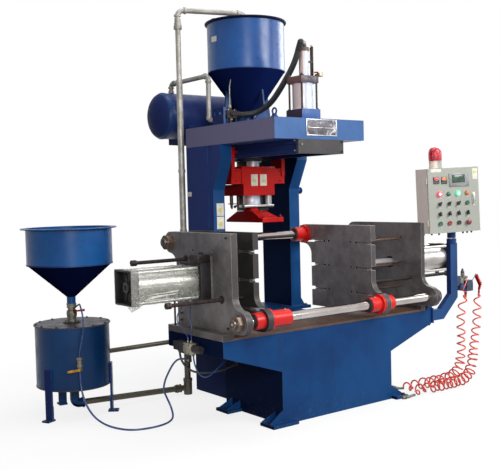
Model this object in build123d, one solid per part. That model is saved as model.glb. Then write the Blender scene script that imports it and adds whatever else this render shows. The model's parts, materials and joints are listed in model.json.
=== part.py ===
from build123d import *
import math
import os

# Foundry core shooting machine, millimetres.
# X runs along the bed, Y goes back from the operator's side, Z is up and the floor is Z = 0.
# The vertical line through the press cylinder is X = 0, Y = 0.

# Bed and column
BED_FRONT = -312
BED_BACK = 312
BED_TOP = 588
SLAB_TOP = 600
PEDESTAL_LEFT = -492
PEDESTAL_RIGHT = 499
WING_LEFT = -944
WING_RIGHT = 932
CROWN_LOW = 1825
CROWN_TOP = 1965
CROWN_HALF = 402
CROWN_FRONT = -178
COLUMN_BACK = 878

# Clamping line
CLAMP_Z = 933
PLATEN_LOW = 628
PLATEN_HIGH = 1233
PLATEN_HALF = 311
BAR_LOW = (-384, 699)
BAR_HIGH = (383, 1162)
BAR_RADIUS = 30
EAR_RADIUS = 71
EAR_FILLET = 80
RUNNING_GAP = 0.05
LEFT_FIXED = (-866, -820)
LEFT_MOVING = (-702, -660)
RIGHT_MOVING = (319, 361)
RIGHT_FIXED = (831, 868)
ROD_RADIUS = 30

# Sand side
HOPPER_Y = 640
TANK_X = -1356
TANK_Y = 897

os.makedirs("parts", exist_ok=True)

parts = {}


def block(x0, x1, y0, y1, z0, z1):
    return Pos((x0 + x1) / 2, (y0 + y1) / 2, (z0 + z1) / 2) * Box(x1 - x0, y1 - y0, z1 - z0)


def along_x(y, z, radius, x0, x1):
    return Pos((x0 + x1) / 2, y, z) * Rot(0, 90, 0) * Cylinder(radius, x1 - x0)


def along_y(x, z, radius, y0, y1):
    return Pos(x, (y0 + y1) / 2, z) * Rot(90, 0, 0) * Cylinder(radius, y1 - y0)


def along_z(x, y, radius, z0, z1):
    return Pos(x, y, (z0 + z1) / 2) * Cylinder(radius, z1 - z0)


def plate_yz(points, x0, x1):
    plane = Plane(origin=(x0, 0, 0), x_dir=(0, 1, 0), z_dir=(1, 0, 0))
    return extrude(plane * make_face(Polyline(*points, close=True)), amount=x1 - x0)


def plate_xz(points, y0, y1):
    plane = Plane(origin=(0, y1, 0), x_dir=(1, 0, 0), z_dir=(0, -1, 0))
    return extrude(plane * make_face(Polyline(*points, close=True)), amount=y1 - y0)


def plate_xy(points, z0, z1):
    plane = Plane(origin=(0, 0, z0))
    return extrude(plane * make_face(Polyline(*points, close=True)), amount=z1 - z0)


def turned(points, x, y):
    # points are (radius, height) pairs of a closed outline
    plane = Plane(origin=(x, y, 0), x_dir=(1, 0, 0), z_dir=(0, -1, 0))
    face = plane * make_face(Polyline(*points, close=True))
    return revolve(face, axis=Axis((x, y, 0), (0, 0, 1)))


def turned_x(points, y, z):
    # points are (x, radius) pairs of a closed outline
    plane = Plane(origin=(0, y, z), x_dir=(1, 0, 0), z_dir=(0, -1, 0))
    face = plane * make_face(Polyline(*points, close=True))
    return revolve(face, axis=Axis((0, y, z), (1, 0, 0)))


def hexagon_x(y, z, across, x0, x1):
    plane = Plane(origin=(x0, y, z), x_dir=(0, 1, 0), z_dir=(1, 0, 0))
    return extrude(plane * RegularPolygon(across / math.sqrt(3), 6), amount=x1 - x0)


def tube(points, radius, bend):
    # round bar along a bent line of straight runs
    line = FilletPolyline(*points, radius=bend)
    start = Plane(origin=line @ 0, z_dir=line % 0)
    return sweep(start * Circle(radius), path=line)


def rod(start, end, radius):
    # straight round bar between two points
    line = Line(start, end)
    return sweep(Plane(origin=line @ 0, z_dir=line % 0) * Circle(radius), path=line)


def cord_tube(name, points, radius):
    # a hose's tube, each bend as large as the two runs beside it allow
    corners = [Vector(*point) for point in points]
    radii = []
    for before, corner, after in zip(corners, corners[1:], corners[2:]):
        turn = math.radians((corner - before).get_angle(after - corner))
        run = min((corner - before).length, (after - corner).length)
        radii.append(0.45 * run / math.tan(turn / 2))
    line = FilletPolyline(*points, radius=radii)
    shape = sweep(Plane(origin=line @ 0, z_dir=line % 0) * Circle(radius), path=line)
    fill = shape.volume / (math.pi * radius ** 2 * line.length)
    print(name, "length", round(line.length), "smallest bend", round(min(radii)), "fill", round(fill, 4))
    return shape


def join(pieces):
    whole = pieces[0]
    for piece in pieces[1:]:
        whole = whole + piece
    return whole


def group(pieces):
    solids = []
    for piece in pieces:
        solids += list(piece.solids())
    return Compound(children=solids)


def keep(name, shape):
    parts[name] = shape


# Bed, pedestal and feet
wings = plate_xz(
    [
        (PEDESTAL_LEFT, 0),
        (PEDESTAL_RIGHT, 0),
        (PEDESTAL_RIGHT, 340),
        (WING_RIGHT, 488),
        (WING_RIGHT, 530),
        (876, BED_TOP),
        (WING_LEFT, BED_TOP),
        (WING_LEFT, 488),
        (PEDESTAL_LEFT, 340),
    ],
    BED_FRONT,
    BED_BACK,
)
keep("bed_slab", block(-863, 866, BED_FRONT + 1, BED_BACK, BED_TOP, SLAB_TOP))
keep(
    "platen_pads",
    group(
        [
            block(WING_LEFT, -863, BED_FRONT, BED_BACK, BED_TOP, PLATEN_LOW),
            block(828, 868, BED_FRONT + 1, BED_BACK, SLAB_TOP, PLATEN_LOW),
        ]
    ),
)


FOOT_REACH = 116
FOOT_THICK = 20


def foot(side, x_wall, y0, y1, webs):
    # a base plate beside the pedestal, with webs given as (y, thickness, height at the wall)
    reach = x_wall + side * FOOT_REACH
    whole = block(min(x_wall, reach), max(x_wall, reach), y0, y1, 0, FOOT_THICK)
    for y, thick, height in webs:
        outline = [
            (x_wall, FOOT_THICK - 1),
            (x_wall, height),
            (reach - side * 10, FOOT_THICK + 6),
            (reach - side * 10, FOOT_THICK - 1),
        ]
        whole = whole + plate_xz(outline, y, y + thick)
    return whole


feet = []
for side, wall in ((-1, PEDESTAL_LEFT), (1, PEDESTAL_RIGHT)):
    feet.append(foot(side, wall, -360, -220, [(BED_FRONT, 12, 95), (-234, 10, 72)]))
    feet.append(foot(side, wall, 133, 273, [(150, 10, 72), (240, 10, 72)]))
toe = block(PEDESTAL_LEFT - 20, PEDESTAL_LEFT + 90, -360, BED_FRONT, 0, FOOT_THICK)
arm_plate = plate_xz(
    [
        (866, BED_TOP),
        (884, 604),
        (884, 634),
        (941, 634),
        (941, 505),
        (WING_RIGHT - 1, 505),
        (WING_RIGHT - 1, 530),
        (876, BED_TOP - 1),
    ],
    BED_FRONT,
    BED_FRONT + 16,
)
arm_plate = arm_plate - block(WING_RIGHT - 1, 950, -330, -250, 485, 601)
keep("bed_frame", join([wings, toe, arm_plate] + feet))
keep("rear_base", block(-368, 368, BED_BACK, COLUMN_BACK, 0, 575))

# Column, crown and rails
column_plate = block(-470, 470, 500, COLUMN_BACK + 12, 575, 598)
flares = []
for side in (-1, 1):
    for y in (552, 700, 848):
        flares.append(
            plate_xz([(side * 402, 598), (side * 402, 672), (side * 452, 598)], y, y + 14)
        )
post_outline = [
    (537, 598),
    (537, 1504),
    (435, 1718),
    (435, CROWN_LOW),
    (COLUMN_BACK, CROWN_LOW),
    (COLUMN_BACK, 598),
]
posts = [plate_yz(post_outline, -402, -304), plate_yz(post_outline, 304, 402)]
column = join([column_plate] + flares + posts)
for x0, x1 in ((-410, -396), (396, 410)):
    column = column - block(x0, x1, 548, 600, 672, CROWN_LOW + 1)
column = column + along_x(575, 1489, 20, 396, 455) + along_x(575, 1489, 26, 440, 449)
keep("column", column)
crown = block(-CROWN_HALF, CROWN_HALF, CROWN_FRONT, COLUMN_BACK, CROWN_LOW, CROWN_TOP)
crown = crown - along_z(0, HOPPER_Y, 95, CROWN_LOW - 1, CROWN_TOP + 1)
keep("crown_beam", crown)
side_plate = block(-CROWN_HALF, -CROWN_HALF + 16, 385, 520, CROWN_TOP, 2082)
side_plate = side_plate - along_x(425, 2045, 16, -420, -370) - along_x(482, 2045, 16, -420, -370)
eye = Pos(-385, -160, 2001) * Rot(0, 90, 0) * Torus(20, 6)
keep("crown_fittings", group([side_plate, join([eye, along_z(-385, -160, 17, CROWN_TOP, 1982)])]))
rail_sides = []
for side in (-1, 1):
    inner = 165
    outer = 203
    rail = block(min(side * inner, side * outer), max(side * inner, side * outer), -158, 830, 1730, CROWN_LOW)
    groove = block(min(side * 183, side * 210), max(side * 183, side * 210), -150, 831, 1757, 1797)
    rail_sides.append(rail - groove)
keep("head_rails", group(rail_sides))
keep("rail_front_plate", block(-203, 203, CROWN_FRONT, -158, 1730, CROWN_LOW))


# Platens
SLOT_ROWS = (1113, 936, 760)
EJECTOR_PLACES = ((119, 1113), (119, 936), (119, 760), (-108, 1113), (-108, 936), (-108, 760))


def platen(x0, x1, centre_hole, bar_gap, slots):
    body = block(x0, x1, -PLATEN_HALF, PLATEN_HALF, PLATEN_LOW, PLATEN_HIGH)
    reach = EAR_RADIUS + EAR_FILLET
    for y, z, edge, up in (
        (BAR_LOW[0], BAR_LOW[1], -PLATEN_HALF, 1),
        (BAR_HIGH[0], BAR_HIGH[1], PLATEN_HALF, -1),
    ):
        outward = -1 if edge < 0 else 1
        fy = edge + outward * EAR_FILLET
        fz = z + up * math.sqrt(reach ** 2 - (fy - y) ** 2)
        foot_z = z - up * EAR_RADIUS
        web = plate_yz([(y, z), (fy, fz), (edge, fz), (edge, foot_z), (y, foot_z)], x0, x1)
        body = body + (web - along_x(fy, fz, EAR_FILLET, x0 - 1, x1 + 1))
        body = body + along_x(y, z, EAR_RADIUS, x0, x1)
    for y, z in (BAR_LOW, BAR_HIGH):
        body = body - along_x(y, z, BAR_RADIUS + bar_gap, x0 - 1, x1 + 1)
    if slots:
        for z in SLOT_ROWS:
            for side in (-1, 1):
                y0 = min(side * 165, side * 400)
                y1 = max(side * 165, side * 400)
                mouth_y = min(side * 272, side * 400)
                mouth = block(x0 - 1, x1 + 1, mouth_y, mouth_y + 128, z - 13, z + 13)
                body = body - block(x0 - 1, x1 + 1, y0, y1, z - 6, z + 6) - mouth
                body = body - along_x(side * 165, z, 12, x0 - 1, x1 + 1)
        for y, z in EJECTOR_PLACES:
            body = body - along_x(y, z, 9, x0 - 1, x1 + 1)
    if centre_hole:
        body = body - along_x(0, CLAMP_Z, centre_hole, x0 - 1, x1 + 1)
    return body


guide_rods = ((200, 1057), (-200, 826))


def with_holes(body, x0, x1, radius):
    for y, z in guide_rods:
        body = body - along_x(y, z, radius, x0 - 1, x1 + 1)
    return body


fixed_platens = []
for span in (LEFT_FIXED, RIGHT_FIXED):
    fixed = with_holes(platen(*span, 45, 0, False), *span, 18)
    for y, z in ((111, 1118), (-115, 1120)):
        fixed = fixed - along_x(y, z, 8, span[0] - 1, span[1] + 1)
    fixed_platens.append(fixed)
keep("fixed_platens", group(fixed_platens))
keep("left_moving_platen", platen(*LEFT_MOVING, 0, RUNNING_GAP, True))
keep("right_moving_platen", platen(*RIGHT_MOVING, 0, RUNNING_GAP, True))
keep("ejector_rods", group([along_x(y, z, 6.5, 340, RIGHT_FIXED[0]) for y, z in EJECTOR_PLACES]))

# Tie bars with nuts
keep("tie_bars", group([along_x(y, z, BAR_RADIUS, -925, 925) for y, z in (BAR_LOW, BAR_HIGH)]))
nuts = []
for y, z in (BAR_LOW, BAR_HIGH):
    for x0, x1 in ((-906, -866), (868, 908)):
        nuts.append(hexagon_x(y, z, 84, x0, x1) - along_x(y, z, BAR_RADIUS, x0 - 1, x1 + 1))
keep("tie_bar_nuts", group(nuts))


def bushes(spans):
    rings = []
    for y, z in (BAR_LOW, BAR_HIGH):
        for x0, x1, flange0, flange1 in spans:
            ring = along_x(y, z, 52.5, x0, x1)
            if flange1 > flange0:
                ring = ring + along_x(y, z, 67.5, flange0, flange1)
            rings.append(ring - along_x(y, z, BAR_RADIUS + RUNNING_GAP, x0 - 1, x1 + 1))
    return group(rings)


keep("left_platen_bushes", bushes([(-660, -495, -660, -640), (-770, -702, 0, 0)]))
keep("right_platen_bushes", bushes([(210, 319, 299, 319), (361, 425, 0, 0)]))


# Clamping cylinders, mirrored left and right
def clamp_cylinder(side, near, far, radius):
    # near is the outer face of the fixed platen, far is the back of the end cap
    def span(a, b):
        return (min(side * a, side * b), max(side * a, side * b))

    plate0 = near
    plate1 = near + 20
    flange1 = near + 94
    cap0 = far - 50
    mount = block(*span(plate0, plate1), -115, 115, 813, 1093)
    flange = block(*span(plate1, flange1), -118, 118, CLAMP_Z - 118, CLAMP_Z + 118)
    head = (mount + flange) - along_x(0, CLAMP_Z, ROD_RADIUS + RUNNING_GAP, *span(plate0 - 1, flange1 + 1))
    for y, z in guide_rods:
        if abs(y) < 118 + 20:
            head = head - along_x(y, z, 18, *span(plate0 - 1, flange1 + 1))
    cap = block(*span(cap0, far), -105, 105, CLAMP_Z - 105, CLAMP_Z + 105)
    cap = cap - block(*span(far - 8, far + 1), -84, 84, CLAMP_Z - 84, CLAMP_Z + 84)
    barrel = along_x(0, CLAMP_Z, radius, *span(flange1, cap0))
    barrel = barrel - along_x(0, CLAMP_Z, radius - 12, *span(flange1 - 1, cap0 + 1))
    rods = []
    for dy in (-90, 90):
        for dz in (-90, 90):
            rods.append(along_x(dy, CLAMP_Z + dz, 10, *span(flange1, cap0)))
    return head, cap, barrel, rods


heads = []
barrels = []
for side, near, far in ((-1, 866, 1435), (1, 868, 1437)):
    head, cap, barrel, rods = clamp_cylinder(side, near, far, 88)
    port = block(min(side * 888, side * 975), max(side * 888, side * 975), -40, 40, 1051, 1104)
    heads += [head, cap, port]
    barrels += [barrel] + rods
heads.append(along_z(-930, 245, 6.5, PLATEN_LOW, 1000))
keep("clamp_cylinder_heads", group(heads))
keep("clamp_cylinder_barrels", group(barrels))
keep("left_piston_rod", along_x(0, CLAMP_Z, ROD_RADIUS, -1360, LEFT_MOVING[0]))
keep("right_piston_rod", along_x(0, CLAMP_Z, ROD_RADIUS, RIGHT_MOVING[1], 1060))
left_guides = []
right_guides = []
for y, z in guide_rods:
    guide = along_x(y, z, 12, -1262, LEFT_MOVING[0])
    left_guides.append(guide + hexagon_x(y, z, 34, -1250, -1232))
    guide = along_x(y, z, 12, RIGHT_MOVING[1], 1262)
    right_guides.append(guide + hexagon_x(y, z, 34, 1232, 1250))
keep("left_guide_rods", group(left_guides))
keep("right_guide_rods", group(right_guides))

# Press cylinder on the crown
base = block(-84, 84, -84, 84, CROWN_TOP, 2040)
barrel = along_z(0, 0, 75, 2040, 2218)
flange = block(-78, 78, -78, 78, 2218, 2266)
ties = []
for dx in (-66, 66):
    for dy in (-66, 66):
        ties.append(along_z(dx, dy, 8, 2040, 2218))
keep("press_cylinder", join([base, barrel, flange] + ties))
PRESS_TOP = (12, 0, 2466)
upper = join([along_z(12, 0, 33, 2266, 2442), along_z(12, 0, 39, 2442, 2466)])
rail = [
    block(56, 62, -26, -18, 2266, 2470),
    block(70, 79, -26, -16, 2266, 2474),
    block(56, 79, -26, -16, 2452, 2462),
    block(40, 79, -24, -14, 2362, 2374),
]
valve = join([along_x(-60, 2272, 6, 74, 90), block(88, 122, -76, -44, 2266, 2292)])
keep("press_upper_cylinder", group([join([upper, join(rail)]), valve]))

# Shooting head
HEAD_FRONT = 517
stem = block(-158, 158, HEAD_FRONT, 650, 1543, 1660)
arms = block(-249, 249, HEAD_FRONT + 7, 650, 1545, 1658)
lower = block(-145, 145, HEAD_FRONT, 707, 1460, 1543)
rollers = []
for side in (-1, 1):
    rollers.append(block(min(side * 218, side * 249), max(side * 218, side * 249), HEAD_FRONT, 650, 1600, 1812))
    for y in (540, 625):
        rollers.append(along_x(y, 1777, 8, min(side * 190, side * 220), max(side * 190, side * 220)))
        rollers.append(along_x(y, 1777, 14, min(side * 189, side * 200), max(side * 189, side * 200)))
keep("head_carriage", join([stem, arms, lower] + rollers))
barrel = join(
    [
        along_z(0, 620, 57, 1390, 1460),
        block(-140, 145, 520, 707, 1368, 1390),
        along_z(0, 620, 50, 1355, 1368),
    ]
)
for x, y in ((115, 560), (-115, 680), (115, 680), (-115, 560)):
    barrel = barrel + along_z(x, y, 18, 1390, 1460)
keep("head_barrel", group([barrel, along_z(0, 620, 42.5, 1660, 1705)]))
flange = block(-98, 98, 360, 810, 1262, 1298)
low_face = Plane(origin=(-2, 612, 1298)) * Rectangle(112, 384)
high_face = Plane(origin=(0, 620, 1355)) * Rectangle(130, 190)
stud = along_z(78, 374, 6, 1298, 1318)
keep("blow_head", join([flange, loft([low_face.face(), high_face.face()]), stud]))

# Hopper over the crown
shell = turned(
    [(80, 2080), (288, 2378), (288, 2732), (284, 2732), (284, 2379), (76, 2081)],
    0,
    HOPPER_Y,
)
rim = Pos(0, HOPPER_Y, 2737) * Torus(296, 9)
keep("hopper_shell", shell + rim)
keep("hopper_outlet", along_z(0, HOPPER_Y, 80, 1715, 2080) - along_z(0, HOPPER_Y, 74, 1714, 2081))
legs = []
for turn in range(4):
    leg = plate_xz([(150, CROWN_TOP), (225, CROWN_TOP), (225, 2000), (190, 2234), (150, 2177)], -6, 6)
    legs.append(Pos(0, HOPPER_Y, 0) * Rot(0, 0, 90 * turn) * leg)
legs.append(block(-40, -28, 520, 548, CROWN_TOP, 2088))
legs.append(plate_xz([(-90, CROWN_TOP), (24, CROWN_TOP), (24, 2030), (-30, 2088), (-90, 2022)], 420, 430))
keep("hopper_legs", group(legs))

# Sand pipe from the transmitter's outlet to the hopper
RISER = (-497, 797)
OUTLET_END = (-1290, 889, 62)
lower_run = rod(OUTLET_END, (-520, 800, 50), 21)
coupling = rod((-600, 808.5, 51.5), (-560, 804.3, 50.8), 28)
tee = along_z(*RISER, 31, 0, 104)
riser = join([along_z(*RISER, 23, 100, 2310), along_z(*RISER, 26, 2290, 2312)])
upper_run = tube([(*RISER, 2308), (*RISER, 2815), (0, HOPPER_Y, 2815), (0, HOPPER_Y, 2700)], 19, 45)
union = along_z(*RISER, 26, 2700, 2722) + along_z(*RISER, 23, 2722, 2756)
strap = block(-292, -24, HOPPER_Y - 12, HOPPER_Y + 24, 2748, 2752)
hanger = block(-66, -60, 646, 664, 2752, 2796)
outlet = tube([(TANK_X, TANK_Y, 197), (TANK_X, TANK_Y, 62), OUTLET_END], 32, 34)
lower_run = lower_run - outlet
keep("sand_pipe", group([join([lower_run, coupling, tee, riser]) + join([upper_run, union])]))

# Air receiver behind the crown
RECEIVER_Y = 1100
RECEIVER_Z = 2080
RECEIVER_LEFT = -470
RECEIVER_RIGHT = 262
RECEIVER_RADIUS = 174
DOME_DEPTH = 80
shell = along_x(RECEIVER_Y, RECEIVER_Z, RECEIVER_RADIUS, RECEIVER_LEFT, RECEIVER_RIGHT)
shell = shell - along_x(RECEIVER_Y, RECEIVER_Z, 168, RECEIVER_LEFT - 1, RECEIVER_RIGHT + 1)
keep("receiver_shell", shell)
ends = []
for side, x in ((-1, RECEIVER_LEFT), (1, RECEIVER_RIGHT)):
    outer = [(x, 0)]
    for part in range(9):
        angle = math.radians(90 * part / 8)
        outer.append((x + side * DOME_DEPTH * math.cos(angle), RECEIVER_RADIUS * math.sin(angle)))
    ends.append(turned_x(outer, RECEIVER_Y, RECEIVER_Z))
keep("receiver_ends", group(ends))
brackets = []
for x in (-330, 200):
    arm = plate_yz([(878, 1840), (878, 1960), (1000, 1960), (1240, 1890), (1240, 1870)], x, x + 14)
    arm = arm + plate_yz([(960, 1880), (960, 2010), (1240, 2010), (1240, 1870)], x, x + 14)
    brackets.append(arm - along_x(RECEIVER_Y, RECEIVER_Z, RECEIVER_RADIUS, x - 1, x + 15))
nozzle = rod((-311, 1000, 2020), (-311, 940, 1975), 22) + rod((-311, 950, 1982.5), (-311, 940, 1975), 28)
brackets.append(nozzle - along_x(RECEIVER_Y, RECEIVER_Z, RECEIVER_RADIUS, -400, -200))
keep("receiver_brackets", group(brackets))
air = tube(
    [(-380, RECEIVER_Y, 2256), (-380, RECEIVER_Y, 2326), (-380, 595, 2326), (-380, 595, 2005), (-380, 520, 2005)],
    17,
    28,
)
air = air + along_z(-380, 595, 21, 2010, 2034) + along_z(-380, RECEIVER_Y, 22, 2256, 2276)
copper_rod = tube([(-262, 500, 2092), (-262, 500, 2240), (-224, 536, 2300)], 4, 20)

# Control arm and cabinet
arm_line = [
    (932, 507),
    (1056, 507),
    (1219, 655),
    (1219, 1066),
    (1141, 1066),
    (1141, 688),
    (1024, 585),
    (932, 585),
]
arm = plate_xz(arm_line, -325, -285)
collar = along_z(1178, -305, 36, 1064, 1100) - along_z(1178, -305, 22 + RUNNING_GAP, 1080, 1101)
keep("control_arm", join([arm, block(932, 944, -325, -255, 490, 600), collar]))

# Regulator on the arm, with the hook that the air gun hangs on
regulator = join(
    [
        block(1219, 1262, -318, -292, 740, 812),
        along_x(-305, 795, 10, 1250, 1352),
        along_z(1303, -305, 13, 770, 834),
        along_z(1284, -305, 17, 742, 800),
        block(1255, 1325, -322, -288, 700, 748),
        block(1318, 1392, -333, -277, 690, 758),
        block(1312, 1398, -325, -285, 758, 772),
        along_z(1335, -305, 9, 636, 692),
        tube([(1390, -305, 750), (1412, -305, 757), (1452, -305, 796), (1462, -305, 812)], 2.5, 8),
    ]
)
gun_body = tube([(1462, -305, 812), (1462, -305, 803), (1516, -305, 722), (1501, -305, 690)], 2.4, 3)
gun_body = gun_body + rod((1466, -305, 797), (1515, -305, 723), 14)
gun_grip = rod((1516, -305, 726), (1501, -305, 690), 10) + rod((1501, -305, 692), (1496, -305, 640), 7)
gun_lever = rod((1478, -305, 808), (1530, -305, 734), 4)
gun = (gun_body + gun_grip + gun_lever) - rod((1452, -305, 796), (1462, -305, 812), 2.6)

CABINET_CENTRE = (1168, -292)
CABINET_LOW = 1151
CABINET_TURN = -111
CABINET_LEAN = 1.93
CABINET_WIDTH = 416
CABINET_HEIGHT = 477
CABINET_DEPTH = 189


def cabinet_place(shape):
    # the cabinet's own frame has x outward through the door, y to the door's right hand side
    placed = Rot(0, 0, CABINET_TURN) * Rot(CABINET_LEAN, 0, 0) * shape
    return Pos(CABINET_CENTRE[0], CABINET_CENTRE[1], CABINET_LOW) * placed


half_w = CABINET_WIDTH / 2
half_d = CABINET_DEPTH / 2
shell = block(-half_d, half_d - 16, -half_w, half_w, 0, CABINET_HEIGHT)
shell = shell - block(-half_d + 3, half_d, -half_w + 3, half_w - 3, 3, CABINET_HEIGHT - 3)
door = block(half_d - 10, half_d, -half_w, half_w, 0, CABINET_HEIGHT)
keep("cabinet_door", cabinet_place(door))
hinges = []
for z in (80, 390):
    pin = along_z(half_d - 13, -half_w - 6, 5, z - 25, z + 25)
    hinges.append(pin + block(half_d - 26, half_d - 14, -half_w - 6, -half_w, z - 25, z + 25))
neck = along_z(1178, -305, 30, 1105, 1175) + along_z(1178, -305, 22, 1080.5, 1105)
neck = neck - cabinet_place(block(-150, 150, -250, 250, 3, 60))
beacon_base = along_z(0, -90, 48, CABINET_HEIGHT, CABINET_HEIGHT + 16)
beacon_base = beacon_base + along_z(0, -90, 46, CABINET_HEIGHT + 16, CABINET_HEIGHT + 55)
keep("cabinet_shell", join([cabinet_place(join([shell] + hinges)), neck]) + cabinet_place(beacon_base))
buttons = []
for z in (287, 214, 141, 70):
    for column in (-122, -45, 31, 107):
        buttons.append(along_x(column, z, 15, half_d, half_d + 4) + along_x(column, z, 11, half_d + 4, half_d + 16))
keep("door_buttons", cabinet_place(group(buttons)))
dome_outline = [(0, 532), (46, 532), (46, 540), (42, 545), (40, 600), (37, 616), (30, 626), (0, 630)]
dome = turned(dome_outline, 0, -90)
keep("beacon_dome", cabinet_place(dome))

# Sand transmitter
hopper = turned(
    [(30, 800), (288, 1028), (288, 1262), (284, 1262), (284, 1030), (30, 806)],
    TANK_X,
    TANK_Y,
)
rim = turned([(284, 1262), (322, 1266), (322, 1274), (284, 1274)], TANK_X, TANK_Y)
neck = turned([(26, 745), (30, 745), (30, 806), (26, 806)], TANK_X, TANK_Y)
keep("transmitter_hopper", join([hopper, rim, neck]))
tank = along_z(TANK_X, TANK_Y, 250, 205, 612) - along_z(TANK_X, TANK_Y, 244, 204, 613)
keep("transmitter_tank", group([tank, outlet]))
bottom = along_z(TANK_X, TANK_Y, 250, 197, 205)
lid = along_z(TANK_X, TANK_Y, 290, 612, 622)
keep("transmitter_ends", group([bottom, lid]))
legs = []
for angle, radius in ((85, 270), (205, 270), (-35, 270)):
    leg = join([block(244, 262, -28, 28, 0, 340), block(230, 300, -28, 28, 0, 12)])
    leg = leg - along_z(0, 0, 250, 100, 341)
    legs.append(Pos(TANK_X, TANK_Y, 0) * Rot(0, 0, angle) * leg)
keep("transmitter_legs", group(legs))

# Transmitter valves with their quarter-turn levers
inlet = along_z(TANK_X, TANK_Y, 24, 622, 745) + along_y(TANK_X, 705, 7, 840, TANK_Y)
inlet = inlet + along_z(TANK_X, TANK_Y, 30, 636, 664) + along_z(TANK_X, TANK_Y, 32, 722, 745)
tank_port = rod((-1350, 858, 730), (-1354.5, 894, 715.4), 9)
inlet = inlet + tank_port
DRAIN_X = -1431
DRAIN_Y = 636
drain = along_z(DRAIN_X, DRAIN_Y, 16, 335, 430) + along_y(DRAIN_X, 348, 5, 606, DRAIN_Y)
spigot = along_y(DRAIN_X, 415, 12, DRAIN_Y, 700) - along_z(TANK_X, TANK_Y, 250, 300, 500)
keep("transmitter_valves", group([inlet, drain + spigot]))
lever = along_y(TANK_X, 705, 13, 840, 850) + block(TANK_X, TANK_X + 70, 841, 846, 699, 711)
keep("inlet_lever", lever - along_y(TANK_X, 705, 7 + RUNNING_GAP, 839, 851))
handle = along_y(DRAIN_X, 348, 9, 606, 613) + block(DRAIN_X - 100, DRAIN_X, 607, 611, 342, 354)
keep("drain_handle", handle - along_y(DRAIN_X, 348, 5 + RUNNING_GAP, 605, 614))
branch = along_x(860, 395, 16.5, -1150, -368) - along_z(TANK_X, TANK_Y, 250, 300, 500)
branch = branch + along_x(860, 395, 22, -590, -555)
keep("air_pipes", group([air, branch, copper_rod, strap + hanger]))

# Hoses: routes from where they leave a fitting, and the fittings that hold them
THICK_HOSE = [
    (-191, 470, 2043),
    (-139, 455, 2046),
    (-97, 426, 2055),
    (-69, 384, 2072),
    (-55, 328, 2097),
    (-51, 265, 2134),
    (-48, 199, 2190),
    (-45, 130, 2258),
    (-42, 68, 2323),
    (-43, 18, 2387),
    (-47, -14, 2440),
]
TANK_HOSE = [
    (-1431, 636, 430),
    (-1431, 636, 468),
    (-1423, 610, 540),
    (-1417, 592, 620),
    (-1411, 606, 690),
    (-1399, 655, 742),
    (-1378, 718, 762),
    (-1354, 776, 759),
    (-1346, 826, 743),
    (-1350, 858, 730),
]
FEED_HOSE = [
    (-1431, 636, 335),
    (-1431, 636, 280),
    (-1433, 613, 195),
    (-1422, 577, 118),
    (-1400, 526, 54),
    (-1372, 450, 16),
    (-1350, 345, 7),
    (-1300, 222, 7),
    (-1190, 180, 7),
    (-1070, 188, 7),
    (-982, 240, 8),
    (-936, 294, 20),
    (-926, 336, 68),
    (-948, 350, 130),
    (-983, 334, 190),
    (-986, 308, 256),
    (-986, 258, 321),
    (-985, 188, 398),
    (-985, 104, 440),
    (-985, 17, 440),
]
BLACK_HOSE = [
    (-968, 140, 492),
    (-968, 140, 446),
    (-960, 122, 402),
    (-942, 92, 366),
    (-910, 62, 343),
    (-855, 40, 333),
    (-770, 30, 330),
    (-690, 30, 336),
    (-630, 30, 350),
]
LOOP_HOSE = [
    (-955, 0, 480),
    (-955, 0, 436),
    (-940, 0, 385),
    (-916, 0, 340),
    (-878, 0, 314),
    (-832, 0, 320),
    (-778, 0, 352),
    (-724, 0, 390),
]
THIN_HOSE_BACK = [
    (-945, 108, 815),
    (-945, 108, 780),
    (-958, 136, 742),
    (-970, 160, 700),
    (-975, 146, 656),
    (-975, 84, 620),
    (-975, 40, 596),
    (-975, 24, 572),
    (-975, 24, 548),
]
THIN_HOSE_FRONT = [
    (-945, 30, 815),
    (-945, 30, 782),
    (-968, 10, 735),
    (-976, -14, 680),
    (-976, -24, 625),
    (-975, -12, 582),
    (-975, -12, 548),
]
COIL_LEFT = [
    (1310, -305, 656),
    (1283, -305, 560),
    (1273, -306, 450),
    (1267, -305, 340),
    (1252, -306, 233),
    (1213, -307, 143),
    (1147, -309, 78),
    (1060, -312, 43),
    (966, -309, 38),
    (866, -301, 37),
    (764, -288, 37),
    (664, -272, 38),
]
COIL_RIGHT = [
    (1496, -305, 652),
    (1478, -309, 565),
    (1456, -322, 465),
    (1422, -338, 360),
    (1378, -356, 262),
    (1318, -376, 172),
    (1240, -396, 102),
    (1150, -410, 58),
    (1050, -416, 40),
    (940, -414, 37),
    (830, -410, 37),
    (730, -403, 37),
    (640, -401, 38),
]
COIL_RADIUS = 35
cords = (
    ("thick_hose", THICK_HOSE, 21),
    ("tank_hose", TANK_HOSE, 5.5),
    ("feed_hose", FEED_HOSE, 6.5),
    ("black_hose", BLACK_HOSE, 7),
    ("loop_hose", LOOP_HOSE, 5),
    ("thin_hose_back", THIN_HOSE_BACK, 3.5),
    ("thin_hose_front", THIN_HOSE_FRONT, 3.5),
    ("coiled_hose_left", COIL_LEFT, COIL_RADIUS),
    ("coiled_hose_right", COIL_RIGHT, COIL_RADIUS),
)
for name, points, radius in cords:
    keep(name, cord_tube(name, points, radius))

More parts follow.
